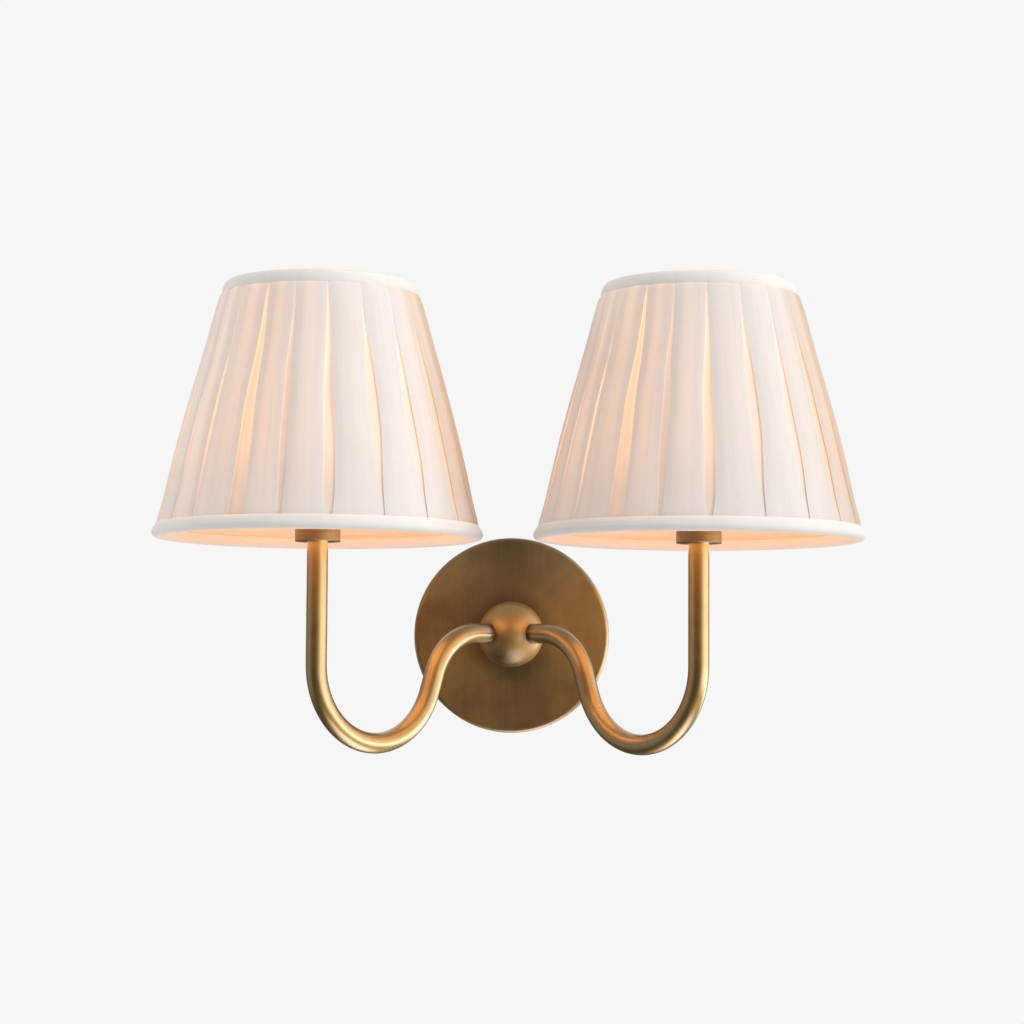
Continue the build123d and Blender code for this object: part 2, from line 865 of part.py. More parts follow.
def pleat_outline(crest, gap):
    # Crowned panels with a sunk gap between each two
    pitch = full_turn / pleat_count
    valley = crest - pleat_depth
    half_gap = degrees(gap / 2 / crest)
    for i in range(pleat_count):
        start = pleat_turn + pitch * i + half_gap
        end = pleat_turn + pitch * (i + 1) - half_gap
        next_start = end + 2 * half_gap
        edge = crest - pleat_crown
        ThreePointArc(
            polar(0, 0, edge, start),
            polar(0, 0, crest, (start + end) / 2),
            polar(0, 0, edge, end),
        )
        Line(polar(0, 0, edge, end), polar(0, 0, valley, end))
        arc(0, 0, valley, end, next_start)
        Line(polar(0, 0, valley, next_start), polar(0, 0, edge, next_start))


def shade_cover(sign):
    # The gaps between the panels are widest at mid height and close towards both bindings
    low = shade_z + trim_t + layer_gap
    high = shade_top - trim_t - layer_gap
    with BuildPart() as cover:
        for i in range(pleat_sections):
            share = i / (pleat_sections - 1)
            height = low + (high - low) * share
            gap = pleat_gap_tip + (pleat_gap_mid - pleat_gap_tip) * sin(pi * share)
            with BuildSketch(lamp_level(sign, height)):
                with BuildLine():
                    pleat_outline(crest_cone(height), gap)
                make_face()
        loft(ruled=True)
        with BuildSketch(lamp_section(sign)):
            with BuildLine():
                Polyline(
                    (0, low),
                    (cloth_cone(low), low),
                    (cloth_cone(high), high),
                    (0, high),
                    close=True,
                )
            make_face()
        revolve(axis=lamp_axis(sign), mode=Mode.SUBTRACT)
    return cover.part


def shade_bottom_trim(sign):
    # Binding folded under the edge and up behind the wire ring
    top = shade_z + bottom_trim_h
    fold = shade_z + trim_t
    behind = ring_radius(fold + layer_gap + wire_d / 2) - wire_d / 2 - layer_gap
    with BuildPart() as trim:
        with BuildSketch(lamp_section(sign)):
            with BuildLine():
                Polyline(
                    (shade_cone(shade_z), shade_z),
                    (shade_cone(top), top),
                    (shade_cone(top) - trim_t, top),
                    (shade_cone(fold) - trim_t, fold),
                    (behind, fold),
                    (behind, shade_z + bottom_trim_in),
                    (behind - trim_t, shade_z + bottom_trim_in),
                    (behind - trim_t, shade_z),
                    close=True,
                )
            make_face()
        revolve(axis=lamp_axis(sign))
    return trim.part


def shade_top_trim(sign):
    # Binding folded over the edge, down to the wire ring
    low = shade_top - top_trim_h
    fold = shade_top - trim_t
    behind = inner_cone(shade_top) - layer_gap
    with BuildPart() as trim:
        with BuildSketch(lamp_section(sign)):
            with BuildLine():
                Polyline(
                    (shade_cone(shade_top), shade_top),
                    (shade_cone(low), low),
                    (shade_cone(low) - trim_t, low),
                    (shade_cone(fold) - trim_t, fold),
                    (behind, fold),
                    (behind, shade_top - top_trim_in),
                    (behind - trim_t, shade_top - top_trim_in),
                    (behind - trim_t, shade_top),
                    close=True,
                )
            make_face()
        revolve(axis=lamp_axis(sign))
    return trim.part


def finial(sign):
    ball_z = finial_z + finial_base_h + finial_neck_h + finial_ball_d / 2
    neck_top = ball_z - sqrt((finial_ball_d / 2) ** 2 - (finial_neck_d / 2) ** 2)
    bore_top = finial_z + stud_h + face_gap
    with BuildPart() as knob:
        with BuildSketch(lamp_level(sign, finial_z)):
            Circle(finial_d / 2)
        extrude(amount=finial_base_h)
        with BuildSketch(lamp_level(sign, finial_z)):
            Circle(finial_neck_d / 2)
        extrude(amount=neck_top - finial_z)
        with Locations((sign * lamp_x, lamp_y, ball_z)):
            Sphere(finial_ball_d / 2)
        with BuildSketch(lamp_level(sign, finial_z)):
            Circle(stud_d / 2 + running_gap)
        extrude(amount=bore_top - finial_z, mode=Mode.SUBTRACT)
    return knob.part


os.makedirs("parts", exist_ok=True)

common_pieces = (
    backplate,
    hub_ball,
    hub_pipe,
    hub_washer,
    hub_nut,
    mounting_bar,
    canopy_screws,
    ground_screw,
    wire_connectors,
)
lamp_pieces = (
    arm,
    leads,
    socket_seat,
    socket_pipe,
    socket_nut,
    socket_bracket,
    socket_rivets,
    socket_body,
    screw_shell,
    center_contact,
    candle_sleeve,
    bulb_eyelet,
    bulb_insulator,
    bulb_cap,
    bulb_glass,
    bulb_stem,
    bulb_filament,
    bulb_clip,
    shade_spider,
    shade_bottom_ring,
    shade_liner,
    shade_cover,
    shade_bottom_trim,
    shade_top_trim,
    finial,
)

for make in common_pieces:
    save(make(), make.__name__)
for side, sign in (("left", -1), ("right", 1)):
    for make in lamp_pieces:
        save(make(sign), f"{side}_{make.__name__}")

print("lamp axis at", round(lamp_x, 2), round(lamp_y, 2))
print("shade from", round(shade_z, 2), "to", round(shade_top, 2))
print("cradle bend", round(cradle_r, 2), "bulb top", round(bulb_top, 2))
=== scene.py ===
import bpy
import numpy as np
from math import pi, radians
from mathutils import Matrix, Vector


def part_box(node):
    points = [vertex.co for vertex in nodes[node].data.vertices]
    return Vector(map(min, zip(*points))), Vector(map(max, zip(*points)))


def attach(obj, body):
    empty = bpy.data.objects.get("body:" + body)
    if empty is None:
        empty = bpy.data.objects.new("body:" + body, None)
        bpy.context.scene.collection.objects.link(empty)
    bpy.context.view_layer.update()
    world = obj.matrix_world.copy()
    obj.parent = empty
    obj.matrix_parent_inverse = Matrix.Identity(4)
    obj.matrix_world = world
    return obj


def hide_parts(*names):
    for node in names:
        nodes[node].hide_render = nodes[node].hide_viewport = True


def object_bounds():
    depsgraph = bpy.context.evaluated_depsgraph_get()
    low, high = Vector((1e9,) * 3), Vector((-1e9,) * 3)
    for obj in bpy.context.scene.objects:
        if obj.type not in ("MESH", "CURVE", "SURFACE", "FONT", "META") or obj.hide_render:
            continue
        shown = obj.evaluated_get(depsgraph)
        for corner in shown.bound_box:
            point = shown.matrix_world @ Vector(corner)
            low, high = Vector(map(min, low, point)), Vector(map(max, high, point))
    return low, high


# Wall lamp with two pleated shades, dressed over its CAD frame. Lengths in metres.

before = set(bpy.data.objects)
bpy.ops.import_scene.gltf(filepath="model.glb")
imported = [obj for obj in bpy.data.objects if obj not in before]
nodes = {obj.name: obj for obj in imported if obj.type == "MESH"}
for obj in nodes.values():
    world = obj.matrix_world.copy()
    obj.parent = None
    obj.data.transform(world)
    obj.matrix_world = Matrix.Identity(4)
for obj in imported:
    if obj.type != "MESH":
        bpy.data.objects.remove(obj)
cadBounds = [list(corner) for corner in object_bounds()]
sides = ("left", "right")
mm = 0.001


# helpers for meshes and shader nodes


def gridMesh(name, points, uv=None, closeRows=False, closeCols=True, values=None):
    # quads between neighbours of a rows x cols grid of points, wrapped where a direction closes
    rows, cols = points.shape[:2]
    index = np.arange(rows * cols).reshape(rows, cols)
    index = np.vstack([index, index[:1]]) if closeRows else index
    index = np.hstack([index, index[:, :1]]) if closeCols else index
    corners = [index[:-1, :-1], index[:-1, 1:], index[1:, 1:], index[1:, :-1]]
    quads = np.stack(corners, axis=-1).reshape(-1, 4)
    mesh = bpy.data.meshes.new(name)
    mesh.from_pydata(points.reshape(-1, 3).tolist(), [], quads.tolist())
    if uv is not None:  # one more row or column than points where that direction closes
        shares = [uv[:-1, :-1], uv[:-1, 1:], uv[1:, 1:], uv[1:, :-1]]
        layer = mesh.uv_layers.new(name="clothMap")
        layer.data.foreach_set("uv", np.stack(shares, axis=2).astype(np.float32).ravel())
    for key, value in (values or {}).items():
        attribute = mesh.attributes.new(key, "FLOAT", "POINT")
        attribute.data.foreach_set("value", value.astype(np.float32).ravel())
    mesh.polygons.foreach_set("use_smooth", np.ones(len(mesh.polygons), bool))
    mesh.update()
    piece = bpy.data.objects.new(name, mesh)
    bpy.context.scene.collection.objects.link(piece)
    return piece


def plug(tree, socket, value):
    # link a socket, or set it to a number or colour
    if isinstance(value, bpy.types.NodeSocket):
        tree.links.new(value, socket)
    else:
        socket.default_value = value


def addNode(tree, kind, settings=None, **sockets):
    # a shader node with its settings, and each socket linked or set; _ stands for a space
    node = tree.nodes.new(kind)
    for key, value in (settings or {}).items():
        setattr(node, key, value)
    for key, value in sockets.items():
        plug(tree, node.inputs[key.replace("_", " ")], value)
    return node


def colourRamp(tree, factor, stops):
    # colour between the stops (place, colour), straight from each to the next
    ramp = addNode(tree, "ShaderNodeValToRGB", Fac=factor)
    elements = ramp.color_ramp.elements
    while len(elements) < len(stops):
        elements.new(0.5)
    for element, (place, colour) in zip(elements, stops):
        element.position = place
        element.color = (*colour, 1.0)
    return ramp.outputs["Color"]


def mapRange(tree, value, fromLow, fromHigh, toLow, toHigh, soft=False):
    # toLow + (toHigh - toLow) s, with s = (value - fromLow) / (fromHigh - fromLow) kept in 0..1;
    # soft eases s
    settings = {"interpolation_type": "SMOOTHSTEP" if soft else "LINEAR"}
    node = addNode(tree, "ShaderNodeMapRange", settings, Value=value)
    for socket, number in zip(node.inputs[1:5], (fromLow, fromHigh, toLow, toHigh)):
        socket.default_value = number
    return node.outputs["Result"]


def math(tree, kind, first, second=0.0):
    # first (kind) second
    node = addNode(tree, "ShaderNodeMath", {"operation": kind})
    plug(tree, node.inputs[0], first)
    plug(tree, node.inputs[1], second)
    return node.outputs[0]


def vectorMath(tree, kind, first, second=None):
    # first (kind) second; SCALE has a number as second, LENGTH has none
    node = addNode(tree, "ShaderNodeVectorMath", {"operation": kind})
    plug(tree, node.inputs[0], first)
    if second is not None:
        plug(tree, node.inputs["Scale" if kind == "SCALE" else 1], second)
    return node.outputs["Value" if kind in ("DISTANCE", "LENGTH") else 0]


def weighted(tree, offset, *terms):
    # offset + sum of value x weight
    total = offset
    for value, weight in terms:
        node = addNode(tree, "ShaderNodeMath", {"operation": "MULTIPLY_ADD"})
        for socket, part in zip(node.inputs, (value, weight, total)):
            plug(tree, socket, part)
        total = node.outputs[0]
    return total


def between(tree, factor, low, high):
    # low where the factor is 0, high where it is 1
    node = addNode(tree, "ShaderNodeMix", {"data_type": "FLOAT"})
    for number, part in ((0, factor), (2, low), (3, high)):
        plug(tree, node.inputs[number], part)
    return node.outputs[0]


def noise(tree, coords, scale, detail, stretch=None):
    # 0..1, spots per metre = scale x stretch
    if stretch is not None:
        coords = addNode(tree, "ShaderNodeMapping", Vector=coords, Scale=stretch).outputs[0]
    return addNode(tree, "ShaderNodeTexNoise", Vector=coords, Scale=scale, Detail=detail).outputs[0]


def meshValue(tree, name):
    # a value stored on the mesh's points
    return addNode(tree, "ShaderNodeAttribute", {"attribute_name": name}).outputs["Fac"]


def newMaterial(name):
    material = bpy.data.materials.new(name)
    material.use_nodes = True
    tree = material.node_tree
    return material, tree, tree.nodes["Principled BSDF"]


def bump(tree, shader, height, strength, distance):
    # normal tilted by strength x the slope of height x distance
    node = addNode(tree, "ShaderNodeBump", Strength=strength, Distance=distance, Height=height)
    tree.links.new(node.outputs[0], shader.inputs["Normal"])


def dress(material, *names):
    # the material alone on each named solid
    for name in names:
        data = nodes[name].data
        data.materials.clear()
        data.materials.append(material)


def bothSides(*names):
    return [f"{side}_{name}" for side in sides for name in names]


def smoothStep(low, high, value):
    # 0 below low, 1 above high, 3s^2 - 2s^3 between
    s = np.clip((value - low) / (high - low), 0, 1)
    return s * s * (3 - 2 * s)


# sizes read from the frame

ballLow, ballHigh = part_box("hub_ball")
plateLow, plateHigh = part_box("backplate")
ballRadius = (ballHigh.x - ballLow.x) / 2
plateRadius = (plateHigh.x - plateLow.x) / 2
ballCenter = Vector((0.0, ballLow.y + ballRadius, 0.0))


def shadeFrame(side):
    # the lamp's axis, and the shade's heights and radii over its bindings
    low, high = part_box(f"{side}_shade_bottom_trim")
    topLow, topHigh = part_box(f"{side}_shade_top_trim")
    axis = ((low.x + high.x) / 2, (low.y + high.y) / 2)
    bottomRadius = (high.x - low.x) / 2
    edgeRadius = (topHigh.x - topLow.x) / 2  # at the lower edge of the top binding
    slope = (bottomRadius - edgeRadius) / (topLow.z - low.z)
    return {
        "axis": axis, "low": low.z, "high": topHigh.z,
        "bottomRadius": bottomRadius, "slope": slope,
    }


def armMouth(side):
    # where an arm leaves the ball, on the straight line towards its lamp
    axis = shadeFrame(side)["axis"]
    towards = Vector((axis[0], axis[1] - ballCenter.y, 0.0)).normalized()
    return ballCenter + towards * ballRadius


# pleated cloth

pleat = {
    # gaps in front, from the left: angle from straight ahead; widest opening in mm, the shares of
    # the height where it is widest and where it shuts, and the share of it left at the foot; light
    # through the gap, the share of that at the foot; light through the panel to its right, and how
    # much painted shade darkens that one
    "front": (
        (-62.0, 1.4, 0.25, 0.62, 0.50, 0.50, 0.50, 2.1, 0.0),
        (-48.5, 1.8, 0.35, 0.72, 0.50, 0.75, 0.50, 2.1, 0.09),
        (-29.5, 7.8, 0.12, 1.02, 0.90, 1.00, 0.48, 2.0, 0.14),
        (-13.3, 3.6, 0.30, 0.92, 0.60, 0.55, 0.55, 1.4, 0.0),
        (4.2, 5.6, 0.15, 0.95, 0.15, 0.78, 0.33, 0.9, 0.0),
        (23.2, 5.6, 0.45, 0.85, 0.08, 0.55, 0.15, 0.6, 0.0),
        (41.0, 5.0, 0.38, 0.80, 0.08, 0.50, 0.15, 0.7, 0.05),
        (58.0, 6.0, 0.42, 0.85, 0.30, 0.70, 0.70, 1.5, 0.05),
    ),
    "count": 22,
    "turn": {"left": 4.9, "right": -3.3},  # degrees that each shade is turned, facing the viewer
    # the same round the back, before they vary: widths times, places plus, and lights times
    "other": (4.0, 0.35, 0.85, 0.40, 0.70, 0.60, 1.3, 0.0),
    "otherVary": ((0.4, 1.8), (-0.12, 0.10), (0.75, 1.3)),
    "lean": 0.5,  # degrees either way
    "gapPower": 1.4,  # how soon a gap narrows
    # painted shade on the gap floors, as a share
    "gapPaintedShade": 0.30,
    # degrees from the front where the right side's painted shade begins, is full, falls and ends
    "rightPaintedShade": (40.0, 82.0, 100.0, 130.0),
    "paintedShadeRise": (0.05, 0.40),  # shares of the height over which a panel's painted shade grows
    "clothPerPleat": 1.28,  # cloth in a pleat over its width at the bottom
    "leastTuck": 0.8,  # mm
    "layers": (0.40, 0.80, 1.30),  # mm above the lining: gap floor, folded layer, panel edge
    "meanHeight": 2.0,  # mm above the lining, where widths are measured
    "squeeze": (0.75, 0.45, 0.7),  # the layers' heights at the ends, more at the middle, its power
    "crown": (1.0, 2.4),  # mm, and how flat the panel's middle is
    "crownEnds": (0.12, 0.6),  # share of the crown left at the ends, and the power of its growth
    "puff": (1.8, 0.9, 0.7),  # mm of bulge at mid height, more of it at the right, and its power
    # mm: half the least opening, the reach of the layers' closing up, and how close they come
    "shut": (0.32, 0.5, 0.11),
    "thickness": 0.10,  # mm
    "rows": 44,
    "fineRows": 800,
    "crowd": (5.0, 3.5, 4.0),  # mm of reach, and how much closer rows lie at the bottom and the top
    "inset": 1.45,  # mm, ends hidden in the bindings
    "base": 3.60,  # mm from the bindings' outside down to the lining
    "flare": (0.9, 1.7),  # mm, the cloth's rise to the bottom and the top binding
    "flareReach": ((9.0, 2.0), (22.0, 1.6)),  # mm, in the open and under the binding
    "flareGap": 1.2,  # mm from the binding's edge
    "waver": 0.22,  # mm
    "waverAbove": 1.4,  # mm above the lining
    "waves": (6, 1.3, 2.1, 3.1),  # count, first step, and the steps up and round the shade
    "calmEnds": 0.12,  # share of the height
    "wander": 0.4,  # mm, of the folds sideways
    "sway": (2.6, 5.3, 0.6),  # half waves up the height, slow and quick, and the quick one's share
    "panelLight": (0.17, 0.27),  # through three layers and through one, against 1 in a gap
    "layerFade": 2.0,  # mm, from three layers to one
    "gapLoss": 0.2,  # light lost towards a gap's sides
    "foldShares": (0.8, 0.75, 0.85),  # of a gap's light: inner fold, folded layer, outer fold
    "foldLight": 0.42,
    "foldFade": 2.0,  # mm
    "foldPale": 0.2,
    "rimLight": 0.55,  # the least light in a fold's rim
    "footFade": (0.02, 0.36),  # shares of the height over which a gap's light grows
    "topFade": (0.90, 1.0, 0.4),  # and falls again, by this share
    "lowPanel": 0.5,  # share of a panel's light left at the foot
    "panelRise": (0.0, 0.4),
    "seed": 11,
}


def halfPleat(width, gap, tuck, crown, squeeze, gapLight, rimLight, panelLight):
    # a section in steps: gap floor, inner fold, folded layer, outer fold, panel; arrays are rows x
    # pleats; gives distance from the gap's middle, height above the lining, light coming through,
    # the paler light that fills a narrow gap, 1 - g / sqrt(g^2 + depth^2), and how far down it
    # lies, which sets the painted shade in the gap
    floor = np.array([0.0, 0.3, 0.6, 0.85, 1.0])
    turn = np.radians([-55.0, 0.0, 55.0])
    back = np.array([1.0, 0.55, 0.15])
    edge = np.radians([-75.0, -35.0, 0.0, 35.0, 75.0])
    panel = np.array([0.0, 0.04, 0.10, 0.18, 0.30, 0.50, 0.75, 1.0])
    low, mid, high = ((layer * mm * squeeze)[..., None] for layer in pleat["layers"])
    w, g, u, c = (v[..., None] for v in (width, gap, tuck, crown))
    lit, rim, through = (v[..., None] for v in (gapLight, rimLight, panelLight))
    least, reach, close = pleat["shut"]
    shut = np.exp(-(g / mm - least) / reach)
    low = low + shut * (high - low - 2 * close * mm)
    mid = mid + shut * (high - mid - close * mm)
    pale = 1 - g / np.hypot(g, high - low)
    # the deeper the gap floor lies, the more painted shade it takes
    down = 1 - shut
    inner = (mid - low) / 2
    outer = (high - mid) / 2
    across = g + outer + (w - g - outer) * panel
    depth = (across - g - outer) / mm
    layered = np.clip((across - g - u) / (pleat["layerFade"] * mm), 0, 1)
    triple, single = pleat["panelLight"]
    innerShare, backShare, outerShare = pleat["foldShares"]
    sheetLight = through * (triple + (single - triple) * layered)
    edgeLight = rim * pleat["foldLight"] * np.exp(-depth / pleat["foldFade"])
    facing = 0.5 - 0.5 * np.sin(edge)
    parts = [
        (floor * (g + u), low + 0 * floor, lit * (1 - pleat["gapLoss"] * floor**2),
         pale + 0 * floor, down + 0 * floor),
        (g + u + inner * np.cos(turn), (low + mid) / 2 + inner * np.sin(turn),
         lit * innerShare + 0 * turn, pale + 0 * turn, down + 0 * turn),
        (g + outer + (u - outer) * back, mid + 0 * back, lit * backShare + 0 * back,
         pale + 0 * back, down + 0 * back),
        (g + outer - outer * np.cos(edge), (mid + high) / 2 + outer * np.sin(edge),
         rim * np.linspace(outerShare, pleat["foldLight"], len(edge)),
         (pleat["foldPale"] + pale) * facing, down * facing),
        (across, high + c * (1 - (1 - panel) ** pleat["crown"][1]),
         np.maximum(sheetLight, edgeLight), 0 * across, 0 * across),
    ]
    return [np.concatenate(group, axis=-1) for group in zip(*parts)]


def foldLines(side):
    # the gaps' angles, set in front and even round the back, with their widths, places and lights
    front = np.array(pleat["front"]).T
    rest = pleat["count"] - front.shape[1]
    step = (360 - front[0, -1] + front[0, 0]) / (rest + 1)
    even = front[0, -1] + step * np.arange(1, rest + 1)
    back = np.vstack([even, np.tile(pleat["other"], (rest, 1)).T])
    vary = np.random.RandomState(pleat["seed"])
    widthVary, placeVary, lightVary = pleat["otherVary"]
    back[1] *= vary.uniform(*widthVary, rest)
    back[2:4] += vary.uniform(*placeVary, (2, rest))
    back[4:8] *= vary.uniform(*lightVary, (4, rest))
    angles, *others = np.hstack([front, back])
    lean = vary.uniform(-pleat["lean"], pleat["lean"], len(angles))
    angles = np.radians(angles + pleat["turn"][side] - 90)
    return angles, np.radians(lean), *others


def gapWidths(t, widths, places, tops, feet):
    # width x share^power: the share is cos from the widest place up to where the gap shuts, and
    # falls to the foot's share below
    up = np.clip((t - places) / (tops - places), 0, 1)
    down = np.clip((places - t) / places, 0, 1)
    share = np.where(t > places, np.cos(pi / 2 * up), feet + (1 - feet) * np.cos(pi / 2 * down))
    return widths * mm * np.clip(share, 0, 1) ** pleat["gapPower"]


def clothRows(at):
    # heights from end to end, closer together where the bindings press the cloth
    low = at["low"] + pleat["inset"] * mm
    high = at["high"] - pleat["inset"] * mm
    fine = np.linspace(low, high, pleat["fineRows"])
    lowEdge = at["low"] + binding["bottomHeight"] * mm
    highEdge = at["high"] - binding["topHeight"] * mm
    reach, lowCrowd, highCrowd = pleat["crowd"]
    nearLow = np.exp(-((fine - lowEdge) / (reach * mm)) ** 2)
    nearHigh = np.exp(-((fine - highEdge) / (reach * mm)) ** 2)
    crowd = 1 + lowCrowd * nearLow + highCrowd * nearHigh
    run = np.concatenate([[0], np.cumsum(crowd[:-1])])
    return np.interp(np.linspace(0, run[-1], pleat["rows"]), run, fine)[:, None]


def edgeRise(distance, outside, under):
    # a hump beside a binding's edge, wide towards the open cloth and short under the binding
    return np.exp(-(distance / np.where(distance > 0, outside, under) / mm) ** 2)


def clothLights(t, gap, gapLight, footLight, panelLight):
    # how the gaps' light fades at the foot and the top, and the light in gaps, rims and panels
    fade = footLight + (1 - footLight) * smoothStep(*pleat["footFade"], t)
    *top, loss = pleat["topFade"]
    fade = fade * (1 - loss * smoothStep(*top, t))
    opened = smoothStep(-1.0, 1.0, gap / mm - pleat["shut"][0])
    lit = fade * gapLight * opened
    rim = fade * np.maximum(gapLight, pleat["rimLight"]) * opened
    grown = smoothStep(*pleat["panelRise"], t)
    through = panelLight * (pleat["lowPanel"] + (1 - pleat["lowPanel"]) * grown)
    return fade, lit, rim, through


def clothPaintedShade(side, t, theta, panelPaintedShade, down):
    # painted shade: sum of the right side's, the panel's and the gap's painted shade, at most 1
    turned = np.degrees((theta + 1.5 * pi) % (2 * pi) - pi) - pleat["turn"][side]  # from the front
    start, full, fall, end = pleat["rightPaintedShade"]
    paintedShade = smoothStep(start, full, turned) * (1 - smoothStep(fall, end, turned))
    paintedShade = paintedShade + (panelPaintedShade * smoothStep(*pleat["paintedShadeRise"], t))[..., None]
    return np.clip(paintedShade + pleat["gapPaintedShade"] * down, 0, 1)


def clothRadius(at, z, t, theta, base, height, phase):
    # lining cone + pleat height + waver + flare beside the bindings + bulge at mid height
    count, first, up, around = pleat["waves"]
    wave = sum(
        np.sin((k + first) * up * t[..., None] + around * k * theta + phase[k][..., None])
        for k in range(count)
    ) / count
    ends = np.clip(np.minimum(t, 1 - t) / pleat["calmEnds"], 0, 1)[..., None]
    lowEdge = at["low"] + (binding["bottomHeight"] + pleat["flareGap"]) * mm
    highEdge = at["high"] - (binding["topHeight"] + pleat["flareGap"]) * mm
    lowReach, highReach = pleat["flareReach"]
    rise = pleat["flare"][0] * edgeRise(z - lowEdge, *lowReach)
    rise = rise + pleat["flare"][1] * edgeRise(highEdge - z, *highReach)
    loose = height > pleat["waverAbove"] * mm
    radius = base[..., None] + height + pleat["waver"] * mm * wave * ends * loose
    radius = radius + rise[..., None] * mm
    bulge, more, power = pleat["puff"]
    middle = np.sin(pi * t)[..., None] ** power
    return radius + mm * middle * (bulge + more * np.clip(np.cos(theta), 0, 1))


def pleatedCloth(side):
    # angle = gap line + distance / radius, over height and section
    at = shadeFrame(side)
    angles, lean, *opening, gapLight, footLight, panelLight, panelPaintedShade = foldLines(side)
    z = clothRows(at)
    rows = len(z)
    t = (z - z[0]) / (z[-1] - z[0])
    base = at["bottomRadius"] - at["slope"] * (z - at["low"]) - pleat["base"] * mm
    meanRadius = base + pleat["meanHeight"] * mm
    vary = np.random.RandomState(pleat["seed"] + 1)
    waves = pleat["waves"][0]
    phase = vary.uniform(0, 2 * pi, (waves + 2, 1, len(angles)))
    middle = np.sin(pi * t)
    slow, quick, share = pleat["sway"]
    sway = np.sin(slow * pi * t + phase[waves]) + share * np.sin(quick * pi * t + phase[waves + 1])
    lines = angles + lean * (t - 0.5) + sway * middle * pleat["wander"] * mm / base
    nextLines = np.roll(lines, -1, axis=1)
    nextLines[:, -1] += 2 * pi
    half = (nextLines - lines) / 2 * meanRadius
    cloth = half[0] * pleat["clothPerPleat"]
    tuck = np.clip((cloth - half) / 2, pleat["leastTuck"] * mm, None)
    gap = pleat["shut"][0] * mm + gapWidths(t, *opening) / 2
    least, more, power = pleat["squeeze"]
    squeeze = least + more * middle**power + 0 * lines
    least, power = pleat["crownEnds"]
    crown = pleat["crown"][0] * mm * (least + (1 - least) * middle**power) + 0 * lines
    fade, lit, rim, through = clothLights(t, gap, gapLight, footLight, panelLight)
    nextGap, nextTuck, nextLit, nextRim = (np.roll(v, -1, axis=1) for v in (gap, tuck, lit, rim))
    left = halfPleat(half, gap, tuck, crown, squeeze, lit, rim, through)
    right = halfPleat(half, nextGap, nextTuck, crown, squeeze, nextLit, nextRim, through)
    right[0] = 2 * half[..., None] - right[0]
    joined = [np.concatenate([a, b[..., -2:0:-1]], axis=-1) for a, b in zip(left, right)]
    away, height, light, pale, down = joined
    theta = lines[..., None] + away / meanRadius[..., None]
    radius = clothRadius(at, z, t, theta, base, height, phase)
    flatten = (rows, -1)
    points = np.stack([
        at["axis"][0] + (radius * np.cos(theta)).reshape(flatten),
        at["axis"][1] + (radius * np.sin(theta)).reshape(flatten),
        np.broadcast_to(z[..., None], theta.shape).reshape(flatten),
    ], axis=-1)
    belt = points[rows // 2]
    run = np.linalg.norm(np.diff(np.vstack([belt, belt[:1]]), axis=0), axis=1)
    along = np.concatenate([[0], np.cumsum(run)])
    slant = np.hypot(1, at["slope"]) * (z[:, 0] - z[0, 0])
    values = {
        "light": light.reshape(flatten),
        "pale": (pale * fade[..., None]).reshape(flatten),
        "paintedShade": clothPaintedShade(side, t, theta, panelPaintedShade, down).reshape(flatten),
        "level": np.broadcast_to(t[..., None], theta.shape).reshape(flatten),
    }
    uv = np.stack(np.meshgrid(along, slant), axis=-1)
    piece = gridMesh(f"{side}PleatedCloth", points, uv, values=values)
    wall = piece.modifiers.new("clothThickness", "SOLIDIFY")
    wall.thickness = pleat["thickness"] * mm
    wall.offset = -1.0
    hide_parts(f"{side}_shade_cover")
    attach(piece, f"{side}_shade")
    return piece, (float(along[-1]), float(slant[-1]))


# bindings round the two edges

binding = {  # mm
    "thickness": 0.7,
    "bottomHeight": 8.5,
    "bottomInside": 6.0,
    "bottomWidth": 9.4,
    "bottomRound": 3.4,
    "topHeight": 8.0,
    "topInside": 2.6,
    "topWidth": 6.4,
    "topRound": 2.9,
    "topInset": 0.9,  # the lower edge, in from the cone
    "topDraw": 0.25,  # the top edge, in from the cone
}
strip = {
    "steps": {"bottom": 34, "top": 30},  # along the section
    "outside": {"bottom": (4, 3), "top": (1, 2)},  # mm in from the edge, and the change's width
    "glow": {"bottom": 1.0, "top": 0.15},
}
pucker = {
    "columns": 440,
    "depth": 0.16,  # mm
    "press": 1.6,  # degrees, half the width of a pleat's dent
    "ripples": (5, 9, 14, 23, 31),  # round the ring
    "rippleRange": (0.4, 1.0),
    "rippleOver": 3,
    "push": 0.8,  # of the ripples, outwards
    "lift": 0.35,  # and upwards
    "seed": 5,
}


def smoothPath(points, count):
    # a Catmull-Rom curve through the points, at even steps of its length
    p = np.array(points, float)
    ext = np.vstack([2 * p[0] - p[1], p, 2 * p[-1] - p[-2]])
    steps = 24  # between two points
    u = np.linspace(0, 1, steps, endpoint=False)[:, None]
    a, b, c, d = (ext[k:len(ext) - 3 + k][:, None] for k in range(4))
    square, cube = 2 * a - 5 * b + 4 * c - d, 3 * b - a - 3 * c + d
    curve = 0.5 * (2 * b + (c - a) * u + square * u**2 + cube * u**3)
    curve = np.vstack([curve.reshape(-1, 2), p[-1:]])
    run = np.concatenate([[0], np.cumsum(np.linalg.norm(np.diff(curve, axis=0), axis=1))])
    even = np.linspace(0, run[-1], count)
    return np.stack([np.interp(even, run, curve[:, k]) for k in range(2)], axis=1)


def foldedStrip(path, thickness):
    # a closed section: the path, and back along it, moved inwards by the cloth's thickness
    along = np.gradient(path, axis=0)
    along /= np.linalg.norm(along, axis=1)[:, None]
    inwards = np.stack([-along[:, 1], along[:, 0]], axis=1)
    inner = path + inwards * thickness
    rounding = 0.35  # of the thickness, past each end
    lip = (path[-1] + inner[-1]) / 2 + along[-1] * thickness * rounding
    start = (path[0] + inner[0]) / 2 - along[0] * thickness * rounding
    return np.vstack([path, lip[None], inner[::-1], start[None]])


